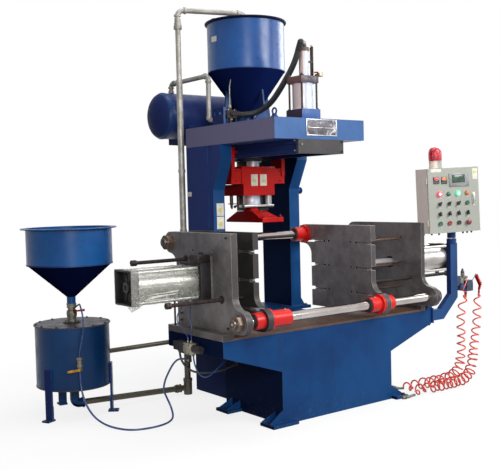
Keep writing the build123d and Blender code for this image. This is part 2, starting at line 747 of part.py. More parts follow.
# Valve at the side plate, elbow on the press cylinder, valve block on the bed's left end
hose_top = Vector(*THICK_HOSE[-1])
hose_lead = (hose_top - Vector(*THICK_HOSE[-2])).normalized() * 62
elbow_turn = hose_top + hose_lead
ELBOW_RADIUS = 21.5
elbow_over = (PRESS_TOP[0], PRESS_TOP[1], elbow_turn.Z)
elbow = join(
    [
        rod(tuple(hose_top), tuple(elbow_turn), ELBOW_RADIUS),
        Pos(*elbow_turn) * Sphere(ELBOW_RADIUS),
        rod(tuple(elbow_turn), elbow_over, ELBOW_RADIUS),
        Pos(*elbow_over) * Sphere(ELBOW_RADIUS),
        rod(elbow_over, PRESS_TOP, ELBOW_RADIUS),
    ]
)
hose_start = Vector(*THICK_HOSE[0])
hose_back = (hose_start - Vector(*THICK_HOSE[1])).normalized() * 44
valve_end = hose_start + hose_back
side_valve = join(
    [
        rod(tuple(valve_end), tuple(hose_start), 25),
        block(-312, -228, 462, 512, 2016, 2074),
        along_x(484, 2040, 14, -386, -305),
        along_z(-262, 500, 9, 2010, 2092),
        along_z(-270, 484, 12, CROWN_TOP, 2020),
    ]
)
light_block = block(-1004, WING_LEFT, -40, 85, 480, 548)
solenoid = along_y(-975, 516, 24, -118, -40)
rear_block = block(-1004, WING_LEFT, 85, 157, 492, 545)
underside = join(
    [
        rod((-630, 30, 350), (-600, 30, 357), 10),
        along_z(-602, 30, 11, 346, 400),
        rod((-724, 0, 390), (-686.5, 0, 416.4), 8),
    ]
)
underside = underside - wings
light_block = light_block + block(-995, -975, -10, 17, 428, 482)
valve_group = join([light_block, solenoid, rear_block])
keep("valve_block", group([elbow, side_valve, valve_group, underside]))

# Ends of the coiled hoses: at the regulator, at the air gun and at the pedestal
keep("air_regulator", regulator - parts["coiled_hose_left"])
keep("air_gun", group([gun - parts["coiled_hose_right"]]))
socket = join(
    [
        rod((670, -273, 40), (612, -262, 46), 9),
        rod((614, -262, 46), (556, -255, 60), 12),
        block(PEDESTAL_RIGHT, 564, -268, -242, 48, 74),
    ]
)
plug = rod((650, -401, 20), (585, -396, 16), 9) + rod((590, -396, 16), (528, -388, 15), 12)
connectors = [socket - parts["coiled_hose_left"] - parts["bed_frame"], plug - parts["coiled_hose_right"]]
keep("transmitter_valves", group([inlet, drain + spigot] + connectors))

for name, shape in parts.items():
    if not isinstance(shape, Compound):
        shape = Compound(children=list(shape.solids()))
    export_step(shape, "parts/" + name + ".step")
print(len(parts), "nodes written")
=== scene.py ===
import json
import math
from itertools import product

import bmesh
import bpy
from mathutils import Matrix, Vector


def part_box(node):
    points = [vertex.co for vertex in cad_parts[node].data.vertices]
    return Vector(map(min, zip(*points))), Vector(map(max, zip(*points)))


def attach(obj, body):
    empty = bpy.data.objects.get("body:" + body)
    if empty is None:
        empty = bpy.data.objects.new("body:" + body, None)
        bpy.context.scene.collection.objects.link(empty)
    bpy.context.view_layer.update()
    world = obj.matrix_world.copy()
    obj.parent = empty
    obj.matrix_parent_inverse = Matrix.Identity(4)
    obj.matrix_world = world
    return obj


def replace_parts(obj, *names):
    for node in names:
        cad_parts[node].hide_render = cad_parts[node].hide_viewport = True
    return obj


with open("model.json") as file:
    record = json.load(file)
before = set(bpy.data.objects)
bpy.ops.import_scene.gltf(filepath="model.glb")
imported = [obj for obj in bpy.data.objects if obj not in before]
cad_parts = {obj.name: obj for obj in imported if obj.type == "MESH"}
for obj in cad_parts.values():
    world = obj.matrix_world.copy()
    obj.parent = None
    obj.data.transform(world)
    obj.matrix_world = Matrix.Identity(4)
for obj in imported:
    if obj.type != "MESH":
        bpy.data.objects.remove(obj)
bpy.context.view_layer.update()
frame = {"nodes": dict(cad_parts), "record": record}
nodes = frame["nodes"]
MM = 0.001

# Camera, metres and radians
CAMERA_PLACE = (-3.72206, -4.29431, 1.46465)
CAMERA_YAW = 0.6458
CAMERA_PITCH = -0.0489
CAMERA_ROLL = -0.0247
CAMERA_LENS = 58.86
PHOTO_WIDTH = 500
PHOTO_HEIGHT = 470
CENTRE_U = 250.07
CENTRE_V = 234.85

camera_data = bpy.data.cameras.new("camera")
camera_data.lens = CAMERA_LENS
camera_data.sensor_width = 36
camera_data.shift_x = (PHOTO_WIDTH / 2 - CENTRE_U) / PHOTO_WIDTH
camera_data.shift_y = (CENTRE_V - PHOTO_HEIGHT / 2) / PHOTO_WIDTH
camera_data.clip_end = 60
camera = bpy.data.objects.new("camera", camera_data)
bpy.context.scene.collection.objects.link(camera)
turn = Matrix.Rotation(-CAMERA_YAW, 4, "Z") @ Matrix.Rotation(math.pi / 2 + CAMERA_PITCH, 4, "X")
camera.matrix_world = Matrix.Translation(CAMERA_PLACE) @ turn @ Matrix.Rotation(CAMERA_ROLL, 4, "Z")
bpy.context.scene.camera = camera


# Materials
class Nodes:
    # a node tree under construction: most calls add one node and return its output

    def __init__(self, tree):
        self.tree = tree

    def add(self, kind, **values):
        node = self.tree.nodes.new(kind)
        for key, value in values.items():
            setattr(node, key, value)
        return node

    def plug(self, source, socket):
        if hasattr(source, "is_output"):
            self.tree.links.new(source, socket)
        else:
            socket.default_value = source

    def node(self, kind, output, inputs, **values):
        made = self.add(kind, **values)
        for key, source in inputs.items():
            self.plug(source, made.inputs[key])
        return made.outputs[output]

    def math(self, operation, a, b=0.0):
        return self.node("ShaderNodeMath", 0, {0: a, 1: b}, operation=operation)

    def rays(self, *kinds):
        # one for rays of these kinds
        paths = self.add("ShaderNodeLightPath")
        found = paths.outputs[kinds[0]]
        for kind in kinds[1:]:
            found = self.math("MAXIMUM", found, paths.outputs[kind])
        return found

    def surface(self, factor, first, second, end):
        blend = self.node("ShaderNodeMixShader", 0, {0: factor, 1: first, 2: second})
        self.plug(blend, self.tree.nodes[end].inputs["Surface"])


class Shader(Nodes):
    def __init__(self, name):
        self.material = bpy.data.materials.new(name)
        self.material.use_nodes = True
        super().__init__(self.material.node_tree)
        self.bsdf = self.tree.nodes["Principled BSDF"]
        self.place = self.add("ShaderNodeTexCoord").outputs["Object"]

    def stretch(self, scale, turn=(0, 0, 0)):
        inputs = {"Vector": self.place, "Rotation": turn, "Scale": scale}
        return self.node("ShaderNodeMapping", "Vector", inputs)

    def noise(self, scale, detail=4, rough=0.6, place=None, distortion=0):
        inputs = {"Vector": place or self.place, "Scale": scale, "Detail": detail, "Roughness": rough}
        return self.node("ShaderNodeTexNoise", "Fac", {**inputs, "Distortion": distortion})

    def step(self, value, low, high, out_low=0, out_high=1):
        inputs = {"Value": value, "From Min": low, "From Max": high, "To Min": out_low, "To Max": out_high}
        return self.node("ShaderNodeMapRange", "Result", inputs, interpolation_type="SMOOTHSTEP")

    def mix(self, factor, a, b):
        return self.node("ShaderNodeMix", "Result", {"Factor": factor, "A": a, "B": b}, data_type="RGBA")

    def axis(self, letter):
        return self.node("ShaderNodeSeparateXYZ", letter, {0: self.place})

    def against(self, direction, low, high, normal=None):
        # how far the normal points the given way
        normal = normal or self.add("ShaderNodeNewGeometry").outputs["Normal"]
        dot = self.node("ShaderNodeVectorMath", "Value", {0: normal, 1: direction}, operation="DOT_PRODUCT")
        return self.step(dot, low, high)

    def facing(self, direction, low=0.3, high=0.8):
        return self.against(direction, low, high)

    def rounded(self, radius):
        return self.node("ShaderNodeBevel", "Normal", {"Radius": radius}, samples=4)

    def edges(self, radius):
        # one near a sharp edge, none on flat and gently curved places
        flat = self.add("ShaderNodeNewGeometry").outputs["Normal"]
        return self.against(flat, 0.995, 0.86, self.rounded(radius))

    def bump(self, height, strength, distance, soft_edges=0.0):
        inputs = {"Height": height, "Strength": strength, "Distance": distance}
        if soft_edges:
            inputs["Normal"] = self.rounded(soft_edges)
        self.plug(self.node("ShaderNodeBump", "Normal", inputs), self.bsdf.inputs["Normal"])

    def finish(self, colour, rough, metal=0.0, coat=0.0):
        self.plug(colour, self.bsdf.inputs["Base Color"])
        self.plug(rough, self.bsdf.inputs["Roughness"])
        self.plug(metal, self.bsdf.inputs["Metallic"])
        self.plug(coat, self.bsdf.inputs["Coat Weight"])
        self.bsdf.inputs["Coat Roughness"].default_value = 0.25
        return self.material


def linear(value):
    return value / 12.92 if value <= 0.04045 else ((value + 0.055) / 1.055) ** 2.4


def rgb(red, green, blue):
    # a colour written as it shows on a screen, 0 to 255
    return (linear(red / 255), linear(green / 255), linear(blue / 255), 1)


def shade(colour, amount):
    return [min(1, part * amount) for part in rgb(*colour)[:3]] + [1]


GREY_DUST = (110, 104, 104)
LEFT = (-1, 0, 0)
FRONT = (0, -1, 0)
UP = (0, 0, 1)
DOWN = (0, 0, -1)
RIGHT = (1, 0, 0)


def paint(
    name, light, dark, worn, rough=0.36, edge=0.004, dust=0.12, coat=0.06, side=None, gloss=0.2, painted_underside_shade=None,
    painted_far_side_shade=None,
):
    # enamel with clouds of colour, chipped edges, runs of grime and dust near the floor; a side colour on
    # left-facing faces is painted light and shade for that side, with a painted deep shade on such faces at
    # positive X, an underside colour on downward faces is painted shade, and gloss and coat drop where these
    # painted colours lie
    shader = Shader(name)
    clouds = shader.step(shader.noise(1.7, 5, 0.62), 0.34, 0.68)
    colour = shader.mix(clouds, rgb(*dark), rgb(*light))
    painted_face_mask = 0.0
    # left-facing faces: painted light and shade in the side colour, painted deep shade on those at positive X
    if side:
        side = rgb(*side)
        if painted_far_side_shade:
            side = shader.mix(shader.step(shader.axis("X"), -0.05, 0.05), side, rgb(*painted_far_side_shade))
        painted_face_mask = shader.math("MULTIPLY", shader.facing(LEFT), 0.9)
        colour = shader.mix(painted_face_mask, colour, side)
    # downward faces: painted shade in the underside colour
    if painted_underside_shade:
        painted_face_mask = shader.facing(DOWN, 0.15, 0.5)
        colour = shader.mix(painted_face_mask, colour, rgb(*painted_underside_shade))
    unpainted_face_share = shader.math("SUBTRACT", 1.0, painted_face_mask)
    streaks = shader.step(shader.noise(3.0, 6, 0.7, shader.stretch((9, 9, 1.1))), 0.56, 0.82, 0, 0.5)
    colour = shader.mix(streaks, colour, shade(dark, 0.55))
    low = shader.step(shader.axis("Z"), 0.20, 0.0, 0, 1)
    specks = shader.step(shader.noise(46, 5, 0.7), 0.52, 0.74)
    dusty = shader.math("MULTIPLY", shader.math("MAXIMUM", low, 0.06), specks)
    colour = shader.mix(shader.math("MULTIPLY", dusty, dust * 2), colour, rgb(*GREY_DUST))
    chips = shader.step(shader.noise(60, 4, 0.7), 0.50, 0.60)
    chipped = shader.math("MULTIPLY", shader.edges(edge), chips)
    colour = shader.mix(chipped, colour, rgb(*worn))
    roughness = shader.step(shader.noise(14, 5, 0.65), 0.3, 0.75, rough - 0.07, rough + 0.16)
    shader.bump(shader.noise(190, 3, 0.5), 0.10, 0.002, 0.0025)
    shader.plug(shader.math("MULTIPLY", unpainted_face_share, gloss), shader.bsdf.inputs["Specular IOR Level"])
    return shader.finish(colour, roughness, 0.0, shader.math("MULTIPLY", unpainted_face_share, coat))


def metal(
    name, light, dark, rough=0.35, grain=(1, 1, 1), stain=None, amount=0.35, metallic=1.0, fine=120,
    edge=0.0, side=None, relief=0.12, front=None, low=None,
):
    # bare or plated metal with brushed grain, blotches and stains; a side colour on left-facing faces and a
    # front colour on front-facing faces are painted light and shade, and a low colour makes it darker towards
    # the bottom
    shader = Shader(name)
    lines = shader.noise(fine, 4, 0.6, shader.stretch(grain))
    blotch = shader.step(shader.noise(5, 6, 0.68), 0.32, 0.70)
    colour = shader.mix(blotch, rgb(*dark), rgb(*light))
    colour = shader.mix(shader.step(lines, 0.35, 0.7, 0, 0.35), colour, rgb(*dark))
    if stain:
        spots = shader.step(shader.noise(14, 7, 0.75, None, 0.4), 0.50, 0.72, 0, amount)
        colour = shader.mix(spots, colour, rgb(*stain))
    # left-facing faces: painted light and shade in the side colour
    if side:
        colour = shader.mix(shader.math("MULTIPLY", shader.facing(LEFT), 0.85), colour, rgb(*side))
    if low:
        colour = shader.mix(shader.step(shader.axis("Z"), 0.85, 0.55), colour, rgb(*low))
    # front-facing faces: painted shade in the front colour
    if front:
        colour = shader.mix(shader.math("MULTIPLY", shader.facing(FRONT), 0.85), colour, rgb(*front))
    if edge:
        colour = shader.mix(shader.math("MULTIPLY", shader.edges(edge), 0.7), colour, shade(light, 2.2))
    roughness = rough
    if relief:
        roughness = shader.step(shader.noise(22, 5, 0.7), 0.3, 0.75, rough - 0.05, rough + 0.12)
        shader.bump(lines, relief, 0.001, 0.0015)
    return shader.finish(colour, roughness, metallic, 0)


def threaded(name, light, dark, pitch=0.003):
    # a threaded rod: fine rings across X, oily brown
    shader = Shader(name)
    rings = shader.node("ShaderNodeTexWave", "Fac", {"Vector": shader.place, "Scale": 0.5 / pitch})
    dirt = shader.step(shader.noise(24, 6, 0.7), 0.35, 0.65)
    colour = shader.mix(dirt, rgb(*dark), rgb(*light))
    colour = shader.mix(shader.step(rings, 0.0, 0.5, 0.6, 0), colour, shade(dark, 0.4))
    shader.bump(rings, 0.8, 0.0012)
    return shader.finish(colour, 0.5, 0.5, 0)


def plastic(name, light, dark, rough=0.4, coat=0.0, glow=0.0):
    shader = Shader(name)
    colour = shader.mix(shader.step(shader.noise(30, 4, 0.6), 0.35, 0.7), rgb(*dark), rgb(*light))
    roughness = shader.step(shader.noise(60, 4, 0.6), 0.3, 0.7, rough - 0.08, rough + 0.12)
    shader.bump(shader.noise(520, 2, 0.5), 0.12, 0.0008, 0.0008)
    if glow:
        shader.plug(colour, shader.bsdf.inputs["Emission Color"])
        shader.bsdf.inputs["Emission Strength"].default_value = glow
    return shader.finish(colour, roughness, 0, coat)


def film_look(name):
    # clear wrapping film: fine wrinkles and long slanting creases, with a painted highlight on the creases
    # and wrinkles that also makes the film less clear there
    shader = Shader(name)
    wrinkles = shader.noise(58, 7, 0.75, shader.stretch((1.0, 1.2, 1.2)), 1.6)
    slanted = shader.stretch((2, 4, 30), (0, math.radians(52), 0))
    creases = shader.step(shader.noise(1.5, 3, 0.5, slanted, 0.5), 0.60, 0.66)
    fine = shader.step(wrinkles, 0.44, 0.62)
    # pale colour on creases and wrinkles: painted highlight
    painted_crease_highlight = shader.math("MAXIMUM", shader.math("MULTIPLY", creases, 0.9), shader.math("MULTIPLY", fine, 0.62))
    colour = shader.mix(painted_crease_highlight, rgb(138, 140, 132), rgb(206, 210, 198))
    shader.bump(shader.math("ADD", wrinkles, shader.math("MULTIPLY", creases, 0.6)), 0.35, 0.004)
    shader.plug(shader.math("ADD", painted_crease_highlight, 0.16), shader.bsdf.inputs["Alpha"])
    return shader.finish(colour, 0.26, 0.0, 0.15)


CHIP = (70, 76, 92)
BLUE_LIGHT = (20, 68, 120)
BLUE_DARK = (14, 52, 100)
looks = {}
# blue enamel: its side colour, a darker navy on left-facing faces, is painted shade
looks["blue_paint"] = paint("blue_enamel", BLUE_LIGHT, BLUE_DARK, CHIP, 0.36, side=(38, 48, 96))
# red enamel: its side colour, a darker red on left-facing faces, is painted shade
looks["red_paint"] = paint(
    "red_enamel", (206, 30, 22), (172, 16, 15), (90, 50, 46), 0.4, side=(104, 9, 12), gloss=0.12
)
# cabinet enamel: its pale side colour on left-facing faces is painted light
looks["cabinet_paint"] = paint(
    "cabinet_enamel", (162, 166, 158), (150, 154, 146), (120, 116, 108), 0.42, 0.002, 0.06, 0.05,
    (250, 234, 222),
)
# platen steel: its darker front colour on front-facing faces is painted shade
looks["dark_steel"] = metal(
    "platen_steel", (112, 104, 102), (74, 70, 70), 0.45, (1, 1, 6), (96, 72, 56), 0.45, 0.6, 90, 0.004,
    front=(58, 53, 54),
)
looks["chrome"] = metal(
    "bar_chrome", (196, 190, 186), (172, 164, 160), 0.13, (0.1, 1, 1), (150, 104, 78), 0.16, 1.0, 60,
    relief=0,
)
looks["bright_steel"] = metal(
    "barrel_steel", (206, 204, 200), (172, 168, 164), 0.34, (0.3, 1, 1), (140, 116, 102), 0.2, 0.85,
    relief=0.04,
)
looks["black_steel"] = metal(
    "black_cast", (48, 44, 46), (24, 22, 26), 0.5, (1, 1, 1), (84, 64, 54), 0.35, 0.4, 90, 0.003
)
looks["galvanized"] = metal(
    "zinc_pipe", (168, 166, 160), (118, 115, 110), 0.46, (1, 1, 1), (92, 82, 72), 0.45, 0.5,
    low=(78, 74, 64),
)
looks["brown_steel"] = metal(
    "brown_plate", (112, 84, 66), (70, 52, 44), 0.55, (0.12, 2, 2), (132, 96, 66), 0.5, 0.3, 60, 0.003
)
looks["black_plastic"] = plastic("black_moulding", (34, 34, 36), (18, 18, 20))
looks["red_plastic"] = plastic("dome_moulding", (208, 8, 44), (150, 4, 26), 0.3, 0.15, 0.15)
looks["black_rubber"] = plastic("black_rubber", (44, 42, 42), (24, 23, 24), 0.55)
looks["blue_hose_plastic"] = plastic("blue_hose_tube", (24, 70, 134), (16, 46, 98), 0.32, 0.2)
looks["red_hose_plastic"] = plastic("red_hose_tube", (234, 76, 50), (206, 48, 34), 0.32, 0.2)
looks["brass"] = metal("dull_brass", (186, 160, 100), (136, 112, 70), 0.35, (1, 1, 1), (90, 74, 54), 0.4)
looks["yellow_plastic"] = plastic("yellow_grip", (214, 158, 34), (160, 110, 20), 0.45)

nut_steel = metal(
    "nut_steel", (128, 112, 100), (78, 66, 58), 0.38, (1, 3, 3), (84, 56, 42), 0.6, 0.5, 70, 0.002
)
dark_bolt = metal("dark_bolt", (70, 64, 62), (36, 33, 34), 0.45, (1, 1, 1), (96, 70, 54), 0.4, 0.7)
zinc_bolt = metal("zinc_bolt", (206, 202, 190), (150, 146, 138), 0.3, (1, 1, 1), (120, 104, 84), 0.3)
# platen steels: darker front colours on front-facing faces are painted shade; shadowed_platen is a darker
# copy of the platen steel, painted shade on the left moving platen
left_platen = metal(
    "pale_platen", (134, 128, 128), (92, 88, 88), 0.46, (1, 1, 8), (100, 82, 70), 0.4, 0.55, 90, 0.004,
    front=(54, 51, 52),
)
shadowed_platen = metal(
    "shadowed_platen", (54, 52, 50), (32, 31, 31), 0.5, (1, 1, 6), (64, 50, 42), 0.4, 0.4, 90, 0.004,
    front=(50, 46, 46),
)
right_platen = metal(
    "right_platen", (140, 134, 136), (96, 92, 94), 0.46, (1, 1, 6), (104, 82, 70), 0.4, 0.5, 90, 0.004,
    front=(60, 55, 55),
)
# hopper, tank and sand hopper enamels: the dark underside colours on downward faces are painted shade
hopper_paint = paint(
    "hopper_enamel", (22, 82, 150), (14, 62, 122), CHIP, 0.3, coat=0.24, gloss=0.24, painted_underside_shade=(14, 26, 70)
)
tank_paint = paint(
    "tank_enamel", (13, 60, 108), (9, 44, 84), CHIP, 0.34, coat=0.06, gloss=0.16, painted_underside_shade=(10, 16, 46)
)
sand_paint = paint(
    "sand_enamel", (22, 84, 146), (15, 64, 118), CHIP, 0.34, coat=0.1, gloss=0.18, painted_underside_shade=(10, 18, 54)
)
# near-black rim colour: painted shade on the rolled rim
rim_painted_shade = paint("rim_shade_enamel", (10, 18, 46), (6, 10, 28), (60, 50, 56), 0.5, coat=0, gloss=0.05)
bush_paint = paint("bush_enamel", (224, 36, 28), (190, 20, 18), (90, 40, 36), 0.34, coat=0.15, gloss=0.25)
rail_steel = metal("rail_steel", (46, 43, 47), (30, 28, 31), 0.5, (6, 1, 1), (60, 44, 36), 0.35, 0.2)
# bed enamel: its near-black side colour on left-facing faces is painted shade
bed_paint = paint("bed_enamel", BLUE_LIGHT, BLUE_DARK, CHIP, coat=0, side=(10, 15, 42), gloss=0.12)
# column enamel: its pale side colour on left-facing faces is painted light, and the near-black colour on
# those at positive X, the right post's inner face, is painted shade
column_paint = paint(
    "column_enamel", (24, 76, 130), (17, 60, 110), CHIP, coat=0, side=(54, 66, 122),
    painted_far_side_shade=(5, 8, 34), gloss=0.12,
)
receiver_paint = paint("receiver_enamel", (42, 58, 116), (30, 44, 92), CHIP, 0.4)
valve_grey = metal("valve_grey", (132, 130, 114), (84, 82, 72), 0.42, (1, 1, 1), (70, 60, 48), 0.5, 0.55)
lid_paint = paint("lid_enamel", (62, 60, 78), (46, 44, 60), (84, 76, 84), 0.45)
slate = plastic("slate_moulding", (50, 66, 92), (30, 40, 58))
rod_chrome = metal(
    "rod_chrome", (226, 224, 226), (196, 194, 196), 0.2, (0.1, 1, 1), (150, 110, 86), 0.16, 0.55, 60,
    relief=0,
)
black_thread = threaded("black_thread", (70, 56, 50), (30, 24, 24))
brown_thread = threaded("brown_thread", (128, 96, 66), (72, 50, 38))
# crown enamel: a lighter copy of the blue, painted light from above, with a pale violet side colour on
# left-facing faces, also painted light
crown_paint_lit = paint(
    "crown_enamel_lit", (58, 98, 152), (46, 80, 130), (120, 110, 120), 0.4, side=(124, 118, 146)
)
plate_face = metal(
    "nameplate_face", (112, 108, 116), (40, 38, 46), 0.4, (1, 1, 1), (216, 214, 220), 1.0, 0.5, 60
)
label_paper = plastic("label_paper", (226, 224, 212), (204, 202, 190), 0.5)
label_field = plastic("label_field", (208, 204, 128), (190, 186, 118), 0.5)
# mottled flange: its reddish side colour on left-facing faces is painted light and shade
mottled = metal(
    "mottled_flange", (96, 92, 102), (44, 38, 46), 0.5, (1, 1, 1), (150, 130, 134), 0.9, 0.3, 90, 0.003,
    (98, 56, 50),
)
# press base: its dark side colour on left-facing faces is painted shade
press_base = paint("press_base", (56, 92, 150), (44, 74, 124), (110, 100, 104), 0.4, side=(66, 50, 52))
# press barrel: its pinkish pale side colour on left-facing faces is a painted reflection
press_barrel = metal(
    "press_barrel", (186, 196, 212), (164, 172, 190), 0.42, (3, 3, 0.3), (176, 160, 160), 0.3, 0.35, 60,
    side=(196, 172, 168), relief=0.03,
)
gate_steel = metal("gate_steel", (30, 27, 28), (14, 13, 15), 0.55, (1, 1, 1), (50, 30, 28), 0.3, 0.3)
silver = metal("silver_fitting", (206, 206, 204), (150, 148, 146), 0.28, (1, 1, 1), (110, 100, 92), 0.3)
beige = metal("valve_body", (176, 170, 152), (140, 132, 116), 0.42, (1, 1, 1), (104, 92, 78), 0.35, 0.5)
barrel_grey = metal(
    "column_grey", (176, 174, 176), (130, 126, 126), 0.4, (3, 3, 0.3), (110, 90, 84), 0.3, 0.5
)
mount_edge = metal("mount_edge", (132, 130, 130), (84, 80, 80), 0.45, (8, 1, 0.4), (60, 50, 46), 0.5, 0.4)
port_rust = metal(
    "port_rust", (56, 38, 34), (22, 18, 18), 0.5, (1, 1, 1), (96, 60, 44), 0.5, 0.3, 90, 0.003
)
dome_rib = plastic("dome_rib", (120, 4, 24), (92, 2, 16), 0.35, 0.1)
tag_grey = plastic("tag_grey", (178, 180, 176), (164, 166, 162), 0.5)
seam_look = plastic("seam_shadow", (20, 40, 84), (12, 24, 56), 0.6)
lamp_red = plastic("lamp_red", (252, 70, 100), (240, 40, 74), 0.2, 0.5, 1.0)
lamp_core = plastic("lamp_core", (255, 244, 246), (255, 230, 236), 0.2, 0.5, 1.8)
lamp_green = plastic("lamp_green", (70, 224, 160), (44, 196, 130), 0.2, 0.5, 1.0)
button_green = plastic("button_green", (44, 110, 88), (26, 78, 62), 0.3, 0.3)
button_amber = plastic("button_amber", (222, 118, 34), (190, 88, 20), 0.3, 0.3)
button_red = plastic("button_red", (150, 34, 46), (112, 20, 32), 0.35, 0.2)
panel_grey = plastic("panel_grey", (146, 148, 146), (120, 122, 122), 0.4)
screen = plastic("screen_glass", (52, 88, 70), (26, 50, 40), 0.12, 0.6, 0.15)
digits_red = plastic("digits_red", (236, 70, 90), (180, 30, 50), 0.2, 0.3, 0.8)
digits_orange = plastic("digits_orange", (240, 140, 70), (200, 90, 40), 0.2, 0.3, 0.8)
blue = looks["blue_paint"]
red = looks["red_paint"]
brass = looks["brass"]
black = looks["black_steel"]
rubber = looks["black_rubber"]
zinc = looks["galvanized"]
steel = looks["dark_steel"]
enamel = looks["cabinet_paint"]
black_part = looks["black_plastic"]


def shown(name, data, body):
    # a new object of the scene that rides on a body
    made = bpy.data.objects.new(name, data)
    bpy.context.scene.collection.objects.link(made)
    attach(made, body)
    return made


def circle(radius, count, start=0.0):
    # places round a circle as (across, up), from a starting angle in degrees
    angles = [math.radians(start + 360 * step / count) for step in range(count)]
    return [(radius * math.cos(angle), radius * math.sin(angle)) for angle in angles]


# Pieces in millimetres
class Piece:
    # shapes gathered in one mesh, each with its own material; place moves what is added next

    def __init__(self, name, body, slot, place=None):
        self.name = name
        self.body = body
        self.slot = slot
        self.mesh = bmesh.new()
        self.materials = []
        self.place = place or Matrix.Identity(4)

    def gather(self, part, material, soft=0.0):
        if soft:
            bmesh.ops.bevel(part, geom=part.edges[:], offset=soft, segments=2, affect="EDGES", profile=0.5)
        if material not in self.materials:
            self.materials.append(material)
        for face in part.faces:
            face.material_index = self.materials.index(material)
            face.smooth = True
        part.transform(self.place)
        bmesh.ops.recalc_face_normals(part, faces=part.faces[:])
        holder = bpy.data.meshes.new("holder")
        part.to_mesh(holder)
        part.free()
        self.mesh.from_mesh(holder)
        bpy.data.meshes.remove(holder)

    def block(self, low, high, material, soft=1.0):
        part = bmesh.new()
        bmesh.ops.create_cube(part, size=1)
        for vertex in part.verts:
            vertex.co = [(low, high)[value > 0][axis] for axis, value in enumerate(vertex.co)]
        self.gather(part, material, soft)

    def frustum(self, bottom, top, low, high, material, soft=1.0):
        # from one rectangle to another, each given by its low and high corner, at two heights
        part = bmesh.new()
        ends = []
        for ((x0, y0), (x1, y1)), height in ((bottom, low), (top, high)):
            spots = ((x0, y0), (x1, y0), (x1, y1), (x0, y1))
            ends.append([part.verts.new((x, y, height)) for x, y in spots])
            part.faces.new(ends[-1])
        for step in range(4):
            after = (step + 1) % 4
            part.faces.new((ends[0][step], ends[0][after], ends[1][after], ends[1][step]))
        bmesh.ops.recalc_face_normals(part, faces=part.faces[:])
        self.gather(part, material, soft)

    def skin(self, rings, material, closed=False, soft=0.0):
        # joins rings of points, where a ring may be a single point, and closes the ends
        part = bmesh.new()
        rings = [[part.verts.new(spot) for spot in ring] for ring in rings]
        for first, second in zip(rings, rings[1:] + rings[:1] if closed else rings[1:]):
            for step in range(max(len(first), len(second))):
                corners = []
                for ring, spot in ((first, step), (first, step + 1), (second, step + 1), (second, step)):
                    corner = ring[spot % len(ring)]
                    if corner not in corners:
                        corners.append(corner)
                if len(corners) > 2:
                    part.faces.new(corners)
        if not closed:
            for ring in (rings[0], rings[-1]):
                if len(ring) > 1:
                    part.faces.new(ring)
        self.gather(part, material, soft)

    def turned(self, outline, place, axis, material, sides=32, closed=False):
        # (radius, height) pairs spun round an axis through a place
        aim = Matrix.Translation(place) @ Vector(axis).to_track_quat("Z", "Y").to_matrix().to_4x4()
        rings = []
        for radius, height in outline:
            spots = circle(radius, sides) if radius > 0.001 else [(0, 0)]
            rings.append([aim @ Vector((across, up, height)) for across, up in spots])
        self.skin(rings, material, closed)

    def drum(self, radius, height, place, axis, material, sides=32):
        self.turned([(0, 0), (radius, 0), (radius, height), (0, height)], place, axis, material, sides)

    def ring(self, inner, outer, low, high, place, axis, material, sides=32):
        outline = [(inner, low), (outer, low), (outer, high), (inner, high)]
        self.turned(outline, place, axis, material, sides, True)

    def nipple(self, wide, shoulder, narrow, start, end, place, axis, material, sides=6):
        # a hexagon with a narrower round end
        outline = [(wide, 0), (wide, shoulder), (narrow, start), (narrow, end), (0, end)]
        self.turned(outline, place, axis, material, sides)

    def plate(self, outline, axis, low, high, material, soft=0.0):
        # an outline in the plane across an axis, from low to high along it
        order = {"x": (2, 0, 1), "z": (0, 1, 2)}[axis]
        rings = []
        for height in (low, high):
            rings.append([[(*spot, height)[which] for which in order] for spot in outline])
        self.skin(rings, material, False, soft)

    def bar(self, points, radius, material, sides=12, loop=False):
        # round bar through the given points, mitred at each
        spots = [Vector(point) for point in points]
        rings = []
        across = None
        for index, spot in enumerate(spots):
            before = spots[index - 1] if index or loop else spot
            after = spots[(index + 1) % len(spots)] if index < len(spots) - 1 or loop else spot
            ahead = ((after - spot).normalized() + (spot - before).normalized()).normalized()
            across = across or ahead.orthogonal().normalized()
            across = (across - ahead * across.dot(ahead)).normalized()
            side = ahead.cross(across)
            rings.append([spot + across * a + side * b for a, b in circle(radius, sides)])
        self.skin(rings, material, loop)

    def bolt(self, place, axis, size):
        # hexagon head on a washer, for a thread of this size
        washer = size * 0.16
        head = size * 0.95
        self.drum(size * 1.1, washer, place, axis, dark_bolt, 20)
        outline = [(head, washer), (head, size * 0.66), (head * 0.85, size * 0.76), (0, size * 0.76)]
        self.turned(outline, place, axis, dark_bolt, 6)

    def cap_screw(self, place, axis, size, material=None):
        # round head with a socket
        outline = []
        for radius, height in ((0.8, 0), (0.8, 0.8), (0.72, 0.95), (0.42, 0.95), (0.42, 0.45), (0, 0.45)):
            outline.append((size * radius, size * height))
        self.turned(outline, place, axis, material or dark_bolt, 16)

    def label(self, low, high, front):
        # bare pale plate with a small pale yellow field, on a face towards the operator
        for inset, thick, material in ((0, 1.2, label_paper), (15, 1.5, label_field)):
            lowest = (low[0] + inset, front - thick, low[1] + inset * 1.6)
            self.block(lowest, (high[0] - inset, front, high[1] - inset * 2.4), material, 0.4)

    def done(self):
        data = bpy.data.meshes.new(self.name)
        self.mesh.transform(Matrix.Scale(MM, 4))
        self.mesh.to_mesh(data)
        self.mesh.free()
        data.set_sharp_from_angle(angle=math.radians(34))
        for material in self.materials:
            data.materials.append(material)
        return shown(self.name, data, self.body)


